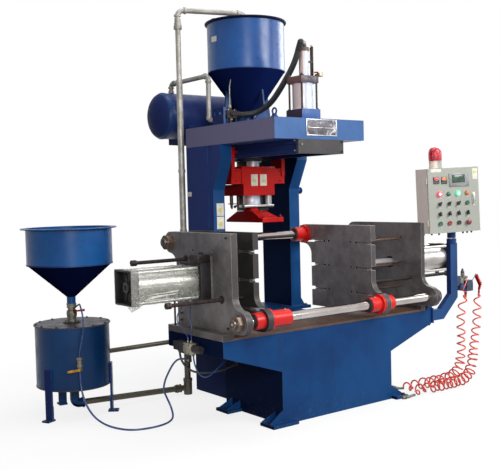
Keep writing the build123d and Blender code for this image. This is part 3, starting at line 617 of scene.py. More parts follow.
# Hoses: the routes in millimetres, from where each leaves its fitting
THICK_HOSE = [
    (-191, 470, 2043), (-139, 455, 2046), (-97, 426, 2055), (-69, 384, 2072), (-55, 328, 2097),
    (-51, 265, 2134), (-48, 199, 2190), (-45, 130, 2258), (-42, 68, 2323), (-43, 18, 2387),
    (-47, -14, 2440),
]
TANK_HOSE = [
    (-1431, 636, 430), (-1431, 636, 468), (-1423, 610, 540), (-1417, 592, 620), (-1411, 606, 690),
    (-1399, 655, 742), (-1378, 718, 762), (-1354, 776, 759), (-1346, 826, 743), (-1350, 858, 730),
]
FEED_HOSE = [
    (-1431, 636, 335), (-1431, 636, 280), (-1433, 613, 195), (-1422, 577, 118), (-1400, 526, 54),
    (-1372, 450, 16), (-1350, 345, 7), (-1300, 222, 7), (-1190, 180, 7), (-1070, 188, 7),
    (-982, 240, 8), (-936, 294, 20), (-926, 336, 68), (-948, 350, 130), (-983, 334, 190),
    (-986, 308, 256), (-986, 258, 321), (-985, 188, 398), (-985, 104, 440), (-985, 17, 440),
]
BLACK_HOSE = [
    (-968, 140, 492), (-968, 140, 446), (-960, 122, 402), (-942, 92, 366), (-910, 62, 343),
    (-855, 40, 333), (-770, 30, 330), (-690, 30, 336), (-630, 30, 350),
]
LOOP_HOSE = [
    (-955, 0, 480), (-955, 0, 436), (-940, 0, 385), (-916, 0, 340), (-878, 0, 314), (-832, 0, 320),
    (-778, 0, 352), (-724, 0, 390),
]
THIN_HOSE_BACK = [
    (-945, 108, 815), (-945, 108, 780), (-958, 136, 742), (-970, 160, 700), (-975, 146, 656),
    (-975, 84, 620), (-975, 40, 596), (-975, 24, 572), (-975, 24, 548),
]
THIN_HOSE_FRONT = [
    (-945, 30, 815), (-945, 30, 782), (-968, 10, 735), (-976, -14, 680), (-976, -24, 625),
    (-975, -12, 582), (-975, -12, 548),
]
COIL_LEFT = [
    (1310, -305, 656), (1284, -305, 560), (1276, -306, 450), (1276, -305, 340), (1276, -306, 233),
    (1258, -307, 138), (1210, -309, 76), (1110, -312, 52), (980, -309, 50), (866, -301, 50),
    (764, -288, 50), (664, -272, 48),
]
COIL_RIGHT = [
    (1496, -305, 652), (1474, -309, 565), (1446, -322, 465), (1408, -338, 360), (1362, -356, 262),
    (1318, -376, 165), (1264, -396, 86), (1170, -410, 52), (1050, -416, 50), (940, -414, 50),
    (830, -410, 50), (730, -403, 50), (640, -401, 47),
]


BLUE_TUBE = "blue_hose_plastic"
RED_TUBE = "red_hose_plastic"
COIL_REACH = 31.5
COIL_TUBE = 5.5
COIL_STEP = 2.0
COIL_END = 38
COIL_GROWS_AT = 420
COIL_GROWS_FOR = 300
POINT_GAP = 14


def nurbs(name, points, radius, steps=12, bevel_steps=5):
    # smooth line with the points as its control points
    data = bpy.data.curves.new(name, "CURVE")
    data.dimensions = "3D"
    spline = data.splines.new("NURBS")
    spline.points.add(len(points) - 1)
    for place, point in zip(spline.points, points):
        place.co = (point[0] * MM, point[1] * MM, point[2] * MM, 1)
    spline.order_u = 3
    spline.use_endpoint_u = True
    spline.resolution_u = steps
    data.bevel_depth = radius * MM
    data.bevel_resolution = bevel_steps
    curve = bpy.data.objects.new(name, data)
    bpy.context.scene.collection.objects.link(curve)
    return curve


def read_line(curve):
    # points along a curve without its thickness, in millimetres
    depth = curve.data.bevel_depth
    curve.data.bevel_depth = 0
    graph = bpy.context.evaluated_depsgraph_get()
    graph.update()
    mesh = bpy.data.meshes.new_from_object(curve.evaluated_get(graph), depsgraph=graph)
    line = [vertex.co / MM for vertex in mesh.vertices]
    bpy.data.meshes.remove(mesh)
    curve.data.bevel_depth = depth
    return line


def line_length(line):
    return sum((b - a).length for a, b in zip(line, line[1:]))


def hose(node, points, radius, slot, steps=12, bevel_steps=5):
    piece = nurbs(node + "_dressed", points, radius, steps, bevel_steps)
    piece.data.materials.append(looks[slot])
    piece.data.use_fill_caps = True
    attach(piece, "machine")
    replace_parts(piece, node)
    line_length(read_line(piece)) * MM


def pitch_at(walked, pitches):
    # read between (distance, pitch) pairs, with a little unevenness
    pitch = pitches[-1][1]
    for (near, first), (far, second) in zip(pitches, pitches[1:]):
        if near <= walked < far:
            pitch = first + (second - first) * (walked - near) / (far - near)
    return pitch * (1 + 0.12 * math.sin(walked * 0.031) + 0.08 * math.sin(walked * 0.083))


def coiled_hose(node, points, pitches, angle):
    # a spiral hose: a helix round the route, narrow at both ends and wider towards the floor
    route = nurbs(node + "_route", points, 0)
    line = read_line(route)
    bpy.data.objects.remove(route)
    total = line_length(line)
    helix = []
    walked = 0.0
    across = Vector((0, 1, 0))
    for start, end in zip(line, line[1:]):
        run = (end - start).length
        if run < 1e-6:
            continue
        ahead = (end - start).normalized()
        across = (across - ahead * across.dot(ahead)).normalized()
        side = ahead.cross(across)
        inner = 0.0
        while inner < run:
            spot = start + ahead * inner
            ends = min(1, walked / COIL_END, (total - walked) / COIL_END)
            swell = 0.95 + 0.1 * math.sin(walked * 0.047)
            growth = 1 + 0.28 * max(0, min(1, (walked - COIL_GROWS_AT) / COIL_GROWS_FOR))
            reach = COIL_REACH * growth * min(1, swell) * math.sin(ends * math.pi / 2)
            helix.append(spot + (across * math.cos(angle) + side * math.sin(angle)) * reach)
            angle += 2 * math.pi * COIL_STEP / pitch_at(walked, pitches)
            walked += COIL_STEP
            inner += COIL_STEP
    kept = [Vector(points[0])]
    for spot in helix[1:]:
        if (spot - kept[-1]).length > POINT_GAP:
            kept.append(spot)
    kept[-1] = Vector(points[-1])
    hose(node, [tuple(spot) for spot in kept], COIL_TUBE, RED_TUBE, 3, 3)


hose("thick_hose", THICK_HOSE, 21, "black_rubber")
hose("tank_hose", TANK_HOSE, 5.5, BLUE_TUBE)
hose("feed_hose", FEED_HOSE, 6.5, BLUE_TUBE)
hose("black_hose", BLACK_HOSE, 7, "black_rubber")
hose("loop_hose", LOOP_HOSE, 5, BLUE_TUBE)
hose("thin_hose_back", THIN_HOSE_BACK, 3.5, BLUE_TUBE)
hose("thin_hose_front", THIN_HOSE_FRONT, 3.5, BLUE_TUBE)
coiled_hose("coiled_hose_left", COIL_LEFT, [(0, 105), (200, 92), (420, 72), (560, 58), (1120, 64)], 0.6)
coiled_hose("coiled_hose_right", COIL_RIGHT, [(0, 108), (240, 88), (420, 64), (600, 52), (1250, 54)], 2.4)

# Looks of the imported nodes, by slot, with a few nodes of their own
own_looks = {
    crown_paint_lit: ("crown_beam",),
    bed_paint: ("bed_frame",),
    column_paint: ("column",),
    hopper_paint: ("hopper_shell", "hopper_outlet"),
    sand_paint: ("transmitter_hopper",),
    rail_steel: ("rail_front_plate",),
    bush_paint: ("left_platen_bushes", "right_platen_bushes"),
    tank_paint: ("transmitter_tank",),
    valve_grey: ("transmitter_valves",),
    receiver_paint: ("receiver_shell",),
    rod_chrome: ("left_piston_rod", "right_piston_rod"),
    slate: ("air_regulator",),
    left_platen: ("fixed_platens",),
    shadowed_platen: ("left_moving_platen",),
    right_platen: ("right_moving_platen",),
    nut_steel: ("tie_bar_nuts",),
    black_thread: ("left_guide_rods", "right_guide_rods"),
    brown_thread: ("ejector_rods",),
}
looks_by_node = {node: look for look, listed in own_looks.items() for node in listed}
for entry in frame["record"]["subparts"]:
    data = nodes[entry["node"]].data
    look = looks_by_node.get(entry["node"], looks[entry["material_slot"]])
    for place in range(max(1, len(data.materials))):
        if data.materials:
            data.materials[place] = look
        else:
            data.materials.append(look)

CLAMP_Z = 933
BARS = ((-384, 699), (383, 1162))
GUIDE_RODS = ((200, 1057), (-200, 826))
CROWN_TOP = 1965
HOPPER_Y = 640
RISER = (-497, 797)

# Bed: front seams, anchor bolts, column bolts, the wing's stud
bed = Piece("bed_trim", "machine", "dark_steel")
bed.block((-493.2, -312.7, 21), (-491.4, -311.6, 587), seam_look, 0.2)
bed.block((-472.6, -312.6, 0.5), (-471.6, -311.6, 82), seam_look, 0.1)
bed.block((-864.2, -311.6, 588.4), (-861.6, 311, 599.4), dark_bolt, 0.3)
for x, y in ((-562, -268), (-562, 200), (560, 200), (590, -336)):
    bed.bolt((x, y, 20), UP, 14)
for x, y in [*product((-440, 440), (530, 626, 776, 870)), (-225, 528), (0, 528), (225, 528)]:
    bed.bolt((x, y, 598), UP, 14)
stud = [(0, 0), (12, 0), (12, 10), (8, 10), (8, 18), (0, 18)]
bed.turned(stud, (930, -290, 488), DOWN, dark_bolt, 14)
bed.done()

# Crown: nameplate frame and face without any wording, rail plate bolts, eye bolt's collar
crown = Piece("crown_trim", "machine", "bright_steel")
crown.block((-132, -180, 1850), (143, -177.6, 1960), plate_face, 0.6)
crown.block((-104, -181.2, 1901), (116, -179.8, 1905), silver, 0.5)
for left, right, low, high in (
    (-132, 143, 1850, 1855), (-132, 143, 1955, 1960), (-132, -127, 1855, 1955), (138, 143, 1855, 1955),
):
    crown.block((left, -181.4, low), (right, -179.6, high), silver, 0.5)
for x, z in product((-120, 131), (1862, 1948)):
    crown.turned([(5, 0), (5, 1.4), (3.4, 3), (0, 3.4)], (x, -180, z), FRONT, silver, 12)
crown.cap_screw((-176, -178, 1790), FRONT, 8, zinc_bolt)
for z in (1811, 1745):
    crown.cap_screw((188, -178, z), FRONT, 8)
    crown.cap_screw((-203, -146, z + 6), LEFT, 7, zinc_bolt)
crown.ring(81, 118, 1715, 1815, (0, HOPPER_Y, 0), UP, gate_steel, 40)
crown.nipple(24, 4, 17, 8, 14, (-385, -160, CROWN_TOP), UP, blue, 24)
for x, y in circle(110, 4, 45):
    crown.bolt((x, HOPPER_Y + y, CROWN_TOP), UP, 10)
crown.done()

# Column: bare labels, beads of weld round the feet
column = Piece("column_labels", "machine", "cabinet_paint")
column.label((-376, 1317), (-313, 1409), 537)
column.label((-376, 1223), (-313, 1312), 537)
column.block((-403.4, 820, 1462), (-401.6, 872, 1496), label_paper, 0.4)
column.done()
welds = Piece("column_welds", "machine", "blue_paint")
for side in (-1, 1):
    for x in (side * 402, side * 304):
        welds.bar([(x, 540 + 8 * k, 598 + 1.2 * math.sin(k * 1.9)) for k in range(42)], 4.2, blue, 8)
    line = [(side * (304 + 3.5 * k), 537, 598 + 1.2 * math.sin(k * 2.1)) for k in range(29)]
    welds.bar(line, 4.2, blue, 8)
welds.done()

# Hopper: bare label, seam, rim bead in painted shade; receiver seams
label_turn = Matrix.Translation((0, HOPPER_Y, 0)) @ Matrix.Rotation(math.radians(179.4), 4, "Z")
hopper = Piece("hopper_trim", "machine", "blue_paint", label_turn)
arc = [math.radians(-6.4 + 12.8 * k / 6) for k in range(7)]
outline = [(289.4 * math.cos(angle), 289.4 * math.sin(angle)) for angle in arc]
outline += [(287.6 * math.cos(angle), 287.6 * math.sin(angle)) for angle in reversed(arc)]
hopper.plate(outline, "z", 2583, 2622, label_paper)
hopper.place = Matrix.Identity(4)
hopper.ring(286.8, 289.6, 2374, 2381, (0, HOPPER_Y, 0), UP, blue, 72)
# rim bead in a near-black colour: painted shade
bead = [(296 + across, up) for across, up in circle(9.6, 12)]
hopper.turned(bead, (0, HOPPER_Y, 2737), UP, rim_painted_shade, 96, True)
for x in (-470, 262):
    hopper.ring(172.5, 176.2, -5, 5, (x, 1100, 2080), RIGHT, blue, 64)
hopper.done()

# Galvanized pipes: screwed fittings at the elbows, union, clamps
SLOPE = (0.953, -0.301, 0)
fittings = Piece("pipe_fittings", "machine", "galvanized")
for place, axis, thinner, sides in (
    ((*RISER, 2768), UP, 1, 28),
    ((-452, 782.8, 2815), SLOPE, 1, 28),
    ((-62, 659.6, 2815), SLOPE, 1, 28),
    ((0, HOPPER_Y, 2770), DOWN, 1, 28),
    ((-380, 1100, 2290), UP, 4, 24),
    ((-380, 1066, 2326), FRONT, 4, 24),
    ((-380, 640, 2326), FRONT, 4, 24),
    ((-380, 595, 2292), DOWN, 4, 24),
):
    collar = [(21, 0), (26, 1), (27, 4), (27, 12), (26, 15), (21, 16)]
    fittings.turned([(radius - thinner, height) for radius, height in collar], place, axis, zinc, sides)
union = [(22, 0), (30, 1), (31, 4), (31, 26), (30, 29), (22, 30)]
fittings.turned(union, (*RISER, 2676), UP, zinc, 8, True)
for height in (1200, 1640):
    fittings.ring(23.2, 27, height, height + 22, (*RISER, 0), UP, zinc, 28)
    fittings.block((-497, 790, height + 4), (-470, 804, height + 18), zinc, 2)
foot = [(23, 0), (32, 1), (34, 5), (34, 20), (32, 24), (23, 25)]
fittings.turned(foot, (*RISER, 96), UP, zinc, 28)
for start in (0.0, 0.62):
    spot = (-590 + 40 * start, 807.4 - 4.3 * start, 51.3)
    fittings.turned([(22, 0), (31, 1), (31, 9), (22, 10)], spot, (0.994, -0.11, -0.014), zinc, 28)
fittings.done()

# Press cylinder: base, round barrel, tie rods with nuts, mottled flange
press = Piece("press_cylinder_dressed", "machine", "bright_steel")
press.block((-84, -84, CROWN_TOP), (84, 84, 2040), press_base, 3)
outline = [(0, 0), (72, 0), (75, 2), (75, 8), (73, 10), (73, 168), (75, 170), (75, 176), (72, 178), (0, 178)]
press.turned(outline, (0, 0, 2040), UP, press_barrel, 72)
press.block((-78, -78, 2218), (78, 78, 2266), mottled, 4)
for x, y in product((-66, 66), repeat=2):
    press.bar([(x, y, 2038), (x, y, 2220)], 7, dark_bolt, 16)
    press.bolt((x, y, 2266), UP, 13)
    press.turned([(6.5, 9.1), (6.5, 14.3), (5.46, 15.6), (0, 15.6)], (x, y, 2266), UP, dark_bolt, 14)
for x, y in product((-72, 72), repeat=2):
    press.cap_screw((x, y, 2040), UP, 7)
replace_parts(press.done(), "press_cylinder")
foot = Piece("press_foot", "machine", "black_steel")
foot.block((-130, 30, CROWN_TOP + 0.5), (-84.5, 104, 1992), gate_steel, 2)
foot.block((84.5, -60, 1990), (96, 30, 2030), red, 2)
foot.done()
upper = Piece("press_upper_dressed", "machine", "bright_steel")
outline = [(0, 0), (36, 0), (36, 6), (33, 8), (33, 172), (36, 174), (36, 176), (0, 176)]
upper.turned(outline, (12, 0, 2266), UP, press_barrel, 48)
cap = [(0, 0), (40, 0), (40, 2), (40, 20), (37, 24), (0, 24)]
upper.turned(cap, (12, 0, 2442), UP, looks["brown_steel"], 32)
for low, high, material, soft in (
    ((55, -27, 2266), (62, -17, 2470), gate_steel, 1.5),
    ((70, -27, 2266), (79, -15, 2474), gate_steel, 1.5),
    ((55, -27, 2452), (79, -15, 2462), gate_steel, 1.5),
    ((40, -25, 2362), (79, -13, 2376), dark_bolt, 1.5),
    ((88, -76, 2266), (122, -44, 2292), brass, 3),
    ((91, -77.5, 2271), (114, -75, 2286), label_paper, 1),
    ((118, -70, 2268), (128, -52, 2294), red, 3),
):
    upper.block(low, high, material, soft)
for height in (2290, 2330, 2410, 2436):
    upper.cap_screw((66, -27, height), FRONT, 5, red)
upper.turned([(0, 0), (10, 0), (12, 5), (10, 12), (0, 13)], (74, -21, 2474), UP, label_paper, 18)
upper.bar([(72, -60, 2272), (90, -60, 2272)], 6, dark_bolt)
upper.bar([(70, -40, 2296), (92, -60, 2296)], 5, red, 8)
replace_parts(upper.done(), "press_upper_cylinder")

# Valve at the side plate and the thick hose's collar
valve = Piece("side_valve_trim", "machine", "black_steel")
valve.turned([(25, 0), (29, 1), (29, 13), (25, 14)], (-214, 477, 2041), (0.957, -0.28, 0.075), dark_bolt, 28)
valve.nipple(19, 6, 15, 8, 20, (-270, 461, 2045), FRONT, dark_bolt)
valve.turned([(10, 0), (10, 20), (7, 24), (0, 24)], (-262, 500, 2092), UP, brass, 6)
valve.nipple(16, 12, 10, 14, 22, (-270, 484, 2014), DOWN, brass)
for x, y in product((-296, -244), (470, 504)):
    valve.cap_screw((x, y, 2074), UP, 5, zinc_bolt)
valve.done()

# Shooting head: labels, hanging rods with ball ends, bolts
head = Piece("head_trim", "shooting_head", "black_steel")
head.label((-74, 1530), (-12, 1615), 517)
head.label((9, 1530), (72, 1615), 517)
for x, y in ((-131, 692), (-106, 640)):
    head.bar([(x, y, 1462), (x, y, 1388)], 13, dark_bolt, 18)
ball = [(11 * math.sin(math.pi * k / 8), -11 * math.cos(math.pi * k / 8)) for k in range(9)]
for y in (692, 650):
    head.turned(ball, (-131, y, 1378), UP, dark_bolt, 18)
head.bar([(-131, 600, 1400), (-131, 735, 1400)], 3.4, red, 10)
for x, y in product((-128, 128), (534, 692)):
    head.cap_screw((x, y, 1368), DOWN, 8)
for x, z in product((-204, 204), (1566, 1640)):
    head.cap_screw((x, 524, z), FRONT, 7, red)
head.ring(51.5, 60, 1660.2, 1668, (0, 588, 0), UP, dark_bolt, 36)
head.block((-157, 517.4, 1655), (157, 649, 1674), red, 1.5)
head.block((-70, 652, 1660), (168, 700, 1713.5), gate_steel, 3)
head.block((-145, 704, 1460), (145, 772, 1543), red, 2)
for across, along in circle(1, 6):
    head.cap_screw((66 * across, 588 + 52 * along, 1660), UP, 6)
head.done()
barrel = Piece("head_barrel_dressed", "shooting_head", "bright_steel")
neck = [(0, 0), (51, 0), (51, 10), (49, 12), (49, 53), (0, 53)]
barrel.turned(neck, (0, 588, 1660), UP, press_barrel, 48)
outline = [(0, 0), (63, 0), (66, 4), (66, 14), (65, 16), (65, 60), (66, 62), (66, 70), (0, 70)]
barrel.turned(outline, (2, 616, 1390), UP, press_barrel, 64)
for radius, x, y, material, sides in (
    (25, 119, 562, barrel_grey, 32),
    (27, 98, 622, gate_steel, 24),
    (32, -12, 722, gate_steel, 32),
    (24, 112, 690, gate_steel, 24),
):
    barrel.drum(radius, 70, (x, y, 1390), UP, material, sides)
barrel.drum(58, 32, (0, 620, 1342), UP, red, 40)
for low, high, material in (
    ((-132, 528, 1373), (145, 596, 1390), silver),
    ((-60, 594, 1375), (120, 752, 1389), gate_steel),
    ((30, 560, 1344), (120, 750, 1374), gate_steel),
    ((-40, 640, 1345), (31, 751, 1376), gate_steel),
):
    barrel.block(low, high, material, 1.5)
for x, y in ((-104, 542), (60, 542), (131, 600), (-104, 690)):
    barrel.cap_screw((x, y, 1376), DOWN, 7)
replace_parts(barrel.done(), "head_barrel")
blow = Piece("blow_head_dressed", "shooting_head", "red_paint")
blow.block((-98, 360, 1262), (98, 810, 1278), red, 1.5)
blow.block((-98, 360, 1276), (98, 390, 1296), red, 1.5)
blow.frustum(((-98, 366), (98, 810)), ((-65, 525), (65, 715)), 1277, 1343, red, 1.2)
blow.turned([(0, 0), (6, 0), (6, 16), (4.6, 20), (0, 20)], (78, 374, 1298), UP, dark_bolt, 12)
blow.ring(5, 11, 0, 9, (78, 374, 1298), UP, red, 6)
blow.ring(5, 11, 0, 6, (-78, 374, 1298), UP, red, 6)
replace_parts(blow.done(), "blow_head")


# Bushes: flange bolts, wiper rings and grease nipples, riding with each platen
def bush_trim(body, flange_x, side, ring_x, far_x):
    trim = Piece(body + "_bush_trim", body, "red_paint")
    wiper = [(30.6, 0), (47, 0), (47, 3), (42, 6), (30.6, 6)]
    for y, z in BARS:
        for across, up in circle(60, 6, 30):
            trim.cap_screw((flange_x, y + across, z + up), (side, 0, 0), 4.5, red)
        for x, way in ((ring_x, side), (far_x, -side)):
            trim.turned(wiper, (x, y, z), (way, 0, 0), rubber, 36, True)
        spot = (ring_x - side * 40, y - 20, z + 48.5)
        trim.turned([(4, 0), (5, 2), (5, 7), (3, 10), (0, 10)], spot, (0, -0.3, 1), zinc_bolt, 10)
    trim.done()


bush_trim("left_platen", -640, 1, -495, -770)
bush_trim("right_platen", 299, -1, 210, 425)

# Fixed platens and tie bar ends: washers, turned stubs, mounting bolts, rings round the rod holes
stub = [(30, 16), (30.6, 17), (30.6, 18.4), (27, 20.4), (8, 20.4), (6, 18), (0, 17)]
ends = Piece("tie_bar_trim", "machine", "bright_steel")
for (y, z), (x, way) in product(BARS, ((-906, -1), (908, 1))):
    ends.turned(stub, (x, y, z), (way, 0, 0), nut_steel, 40)
    ends.ring(30.6, 48, -1.5, 2.5, (x, y, z), (way, 0, 0), nut_steel, 40)
    ends.ring(42.2, 56, -40, -36, (x, y, z), (way, 0, 0), nut_steel, 40)
for x, way in ((-866, -1), (868, 1)):
    for y, z in product((-99, 99), (832, 1074)):
        ends.bolt((x + way * 20, y, z), (way, 0, 0), 14)
    for y, z in GUIDE_RODS:
        ends.ring(18.4, 26, 0, 2, (x, y, z), (way, 0, 0), dark_bolt, 28)
    for y, z in ((-262, 655), (262, 655), (-262, 1206), (262, 700)):
        ends.cap_screw((x, y, z), (way, 0, 0), 9)
ends.done()
for side, places in (("left", (-1265, -1247)), ("right", (1234, 1252))):
    nuts = Piece(side + "_guide_nuts", side + "_platen", "brown_steel")
    for (y, z), x in product(GUIDE_RODS, places):
        nuts.ring(12.2, 21, 0, 13, (x, y, z), RIGHT, dark_bolt, 6)
    nuts.done()

# Slots of the moving platens: narrow steel slots behind their wide mouths
for side in ("left", "right"):
    slots = Piece(side + "_platen_slots", side + "_platen", "dark_steel")
    near, far = (corner[0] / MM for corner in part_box(side + "_moving_platen"))
    for z, way in product((1113, 936, 760), (-1, 1)):
        inner, outer = sorted((way * 176, way * 273))
        for low, high in ((z - 6.5, z - 2), (z + 2, z + 6.5)):
            slots.block((near, inner, low), (far, outer, high), steel, 0)
        slots.ring(8, 12.4, near + 0.4, far - 0.4, (0, way * 165, z), RIGHT, steel, 28)
    slots.done()


# Clamp cylinders: mount, flange, cap with ribs in its deep recess, port block, tie rod nuts
def clamp_heads(name, side, near, far):
    clamp = Piece(name, "machine", "black_steel")
    away = (side, 0, 0)

    def solid(x0, x1, y0, y1, z0, z1, material=black, soft=1.5):
        low, high = sorted((side * x0, side * x1))
        clamp.block((low, y0, z0), (high, y1, z1), material, soft)

    solid(near, near + 20, -115, 115, 813, 1093)
    solid(near + 1, near + 19, -117.5, -114, 815, 1091, mount_edge, 0.8)
    solid(near + 20, near + 94, -118, 118, CLAMP_Z - 118, CLAMP_Z + 118, black, 3)
    solid(far - 50, far - 40, -105, 105, CLAMP_Z - 105, CLAMP_Z + 105, gate_steel, 3)
    solid(far - 44, far, -105, -95, CLAMP_Z - 105, CLAMP_Z + 105, mount_edge)
    solid(far - 44, far, 95, 105, CLAMP_Z - 105, CLAMP_Z + 105, gate_steel)
    solid(far - 44, far, -96, 96, CLAMP_Z + 95, CLAMP_Z + 105, gate_steel)
    solid(far - 44, far, -96, 96, CLAMP_Z - 105, CLAMP_Z - 95, gate_steel)
    for across, up in circle(1, 8, 22.5):
        spoke = [(side * (far - 36), reach * across, CLAMP_Z + reach * up) for reach in (30, 92)]
        clamp.bar(spoke, 5, black, 8)
    hub = [(0, 0), (34, 0), (34, 24), (28, 28), (16, 28), (14, 16), (0, 16)]
    clamp.turned(hub, (side * (far - 42), 0, CLAMP_Z), away, black, 36)
    solid(near + 22, near + 109, -110, -30, 1051, 1104, port_rust, 4)
    plug = [(0, 0), (16, 0), (16, 12), (10, 14), (0, 14)]
    clamp.turned(plug, (side * (near + 60), -70, 1104), UP, dark_bolt, 6)
    plug = [(0, 0), (17, 0), (17, 5), (10, 6), (0, 3)]
    clamp.turned(plug, (side * (near + 80), -110, 1078), FRONT, dark_bolt, 24)
    for y, z in product((-104, 104), (826, 1080)):
        clamp.cap_screw((side * (near + 20), y, z), away, 7)
    for y, z in product((-90, 90), (CLAMP_Z - 90, CLAMP_Z + 90)):
        clamp.ring(10.2, 17, 0, 9, (side * (near + 94), y, z), away, dark_bolt, 6)
    if side < 0:
        clamp.bar([(-930, 245, 628), (-930, 245, 1000)], 6.5, gate_steel, 14)
    return clamp.done()


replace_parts(clamp_heads("left_clamp_heads", -1, 866, 1435), "clamp_cylinder_heads")
clamp_heads("right_clamp_heads", 1, 868, 1437)
strap = Piece("right_clamp_strap", "machine", "black_plastic")
line = []
for across, up in circle(1, 40):
    reach = 108 / max(abs(across), abs(up)) ** 0.6
    line.append((1391 + 0.24 * reach * up, reach * across, CLAMP_Z + reach * up))
strap.bar(line, 2.6, label_field, 8, True)
strap.block((1354, -16, 808), (1378, 10, 826), dark_bolt, 2)
strap.done()

# Film wrapped round the left cylinder, tight over its cap and slack along the barrel
ROUND = 72
STATIONS = 60
CAP_SHARE = 0.12
wrap = bmesh.new()
film_rings = []
for station in range(STATIONS):
    share = station / (STATIONS - 1)
    x = -1436 + share * 472
    half = 106.2 if share < CAP_SHARE else 102.5
    corner = 4 if share < CAP_SHARE else 12
    rounded = (half - corner) * 1.414 + corner
    ring = []
    for step in range(ROUND):
        angle = 2 * math.pi * (step + 0.5) / ROUND
        across = math.cos(angle)
        up = math.sin(angle)
        reach = min(half / max(abs(across), abs(up)), rounded)
        slack = 0 if share < CAP_SHARE else 4 * (1 - (reach / rounded) ** 8)
        crease = 1.3 * math.sin(angle * 9 + share * 31) + 0.8 * math.sin(angle * 15 - share * 57)
        reach += (crease if share > CAP_SHARE else 0.3 * crease) - slack
        y = across * reach
        z = up * reach
        drop = max(0, 1 - share / 0.17) * max(0, min(1, (-y - 50) / 40)) * max(0, min(1, (-z - 60) / 40))
        ring.append(wrap.verts.new((x * MM, y * MM, (CLAMP_Z + z - 30 * drop) * MM)))
    film_rings.append(ring)
for first, second in zip(film_rings, film_rings[1:]):
    for step in range(ROUND):
        after = (step + 1) % ROUND
        face = wrap.faces.new((first[step], first[after], second[after], second[step]))
        face.smooth = True
bmesh.ops.recalc_face_normals(wrap, faces=wrap.faces[:])
film_mesh = bpy.data.meshes.new("left_cylinder_film")
wrap.to_mesh(film_mesh)
wrap.free()
film_mesh.materials.append(film_look("clear_film"))
shown("left_cylinder_film", film_mesh, "machine")

# Control cabinet: its own frame has x out through the door and y to the door's right hand side
CABINET = Matrix.Translation((1168, -292, 1151)) @ Matrix.Rotation(math.radians(-111), 4, "Z")
CABINET = CABINET @ Matrix.Rotation(math.radians(1.93), 4, "X")
DOOR = 94.5
door = Piece("door_instruments", "control_door", "black_plastic", CABINET)


def on_door(left, right, low, high, base, top, material, soft):
    door.block((DOOR + base, left, low), (DOOR + top, right, high), material, soft)


for y, z, digits in ((-142, 390, digits_red), (-77, 387, digits_orange)):
    on_door(y - 24, y + 24, z - 26, z + 26, 0, 5, black_part, 2)
    on_door(y - 18, y + 18, z + 2, z + 20, 4.6, 5.6, digits, 0.4)
    on_door(y - 18, y + 18, z - 10, z - 1, 4.6, 5.6, screen, 0.4)
    for key in range(4):
        on_door(y - 18 + key * 10, y - 12 + key * 10, z - 21, z - 15, 4.8, 6.2, panel_grey, 0.6)
on_door(-38, 128, 335, 436, 0, 6, panel_grey, 3)
on_door(-14, 92, 366, 424, 5.4, 6.6, black_part, 1)
on_door(-8, 86, 371, 419, 6, 7, screen, 0.6)
for key in range(7):
    on_door(-26 + key * 21, -12 + key * 21, 345, 355, 5.6, 7.2, panel_grey, 1)
on_door(159, 199, 383, 463, 0, 1.2, label_paper, 0.4)
on_door(-183, -99, 449, 472, 0, 1.2, label_paper, 0.4)
on_door(165, 193, 430, 455, 1, 1.6, label_field, 0.3)
on_door(151, 172, 191, 289, 0, 3, label_paper, 1.4)
on_door(154, 169, 204, 282, 3, 15, silver, 4)

# Four rows of four: lamps and lit buttons, knobs on the next two, buttons with a mushroom head
LENSES = (lamp_red, button_green, lamp_green, button_amber)
CAPS = {(1, 3): button_green, (3, 0): button_green, (3, 1): button_red, (3, 2): black_part}
MUSHROOM = (3, 3)
for (row, z), (rank, y) in product(enumerate((287, 214, 141, 70)), enumerate((-122, -45, 31, 107))):
    place = (DOOR, y, z)
    on_door(y - 13, y + 13, z - 33, z - 26, 0, 0.8, tag_grey, 0.3)
    door.turned([(0, 0), (16, 0), (16, 3), (14, 5), (0, 5)], place, RIGHT, panel_grey, 32)
    if row == 0:
        reach = 21 if rank in (0, 2) else 16
        outline = [(0, 4), (reach, 4), (reach, 9), (reach - 3, 14), (reach - 8, 17), (0, 18)]
        door.turned(outline, place, RIGHT, LENSES[rank], 28)
        if rank in (0, 2):
            door.turned([(10, 16.5), (7, 18.6), (0, 19.4)], place, RIGHT, lamp_core, 20)
    elif (row, rank) == MUSHROOM:
        outline = [(0, 4), (11, 4), (11, 12), (19, 14), (20, 18), (17, 24), (8, 27), (0, 28)]
        door.turned(outline, place, RIGHT, button_red, 32)
    elif (row, rank) in CAPS:
        outline = [(0, 4), (16, 4), (16, 11), (14, 13), (7, 12.4), (0, 12)]
        door.turned(outline, place, RIGHT, CAPS[row, rank], 28)
    else:
        tilt = math.radians(-32 if row == 1 else 0)
        door.turned([(0, 4), (13, 4), (13, 10), (11, 12), (0, 12)], place, RIGHT, black_part, 28)
        door.place = CABINET @ Matrix.Translation((DOOR + 12, y, z)) @ Matrix.Rotation(tilt, 4, "X")
        door.plate([(-8, -13), (8, -13), (3.2, 18), (-3.2, 18)], "x", -1, 13, black_part, 0.8)
        door.block((10.6, -0.9, 2), (11.6, 0.9, 12), label_paper, 0.2)
        door.place = CABINET
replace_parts(door.done(), "door_buttons")
seal = Piece("door_seal", "control_door", "black_rubber", CABINET)
for left, right, low, high in (
    (-204, 204, 4, 10), (-204, 204, 467, 473), (-204, -198, 10, 467), (198, 204, 10, 467),
):
    seal.block((DOOR - 15, left, low), (DOOR - 10.2, right, high), rubber, 0.8)
seal.done()
glands = Piece("cable_glands", "control_cabinet", "black_plastic", CABINET)
for x, y in ((-40, -189), (-10, -140), (20, -96), (30, 99), (24, 138), (18, 178)):
    glands.turned([(9, 0), (9, 5), (7.4, 6), (7.4, 14), (5, 18), (0, 18)], (x, y, 0), DOWN, black_part, 6)
glands.ring(47.6, 50, 0, 6, (0, -90, 478), UP, enamel, 40)
glands.ring(46.2, 48.4, 0, 5, (0, -90, 530), UP, enamel, 40)
glands.done()
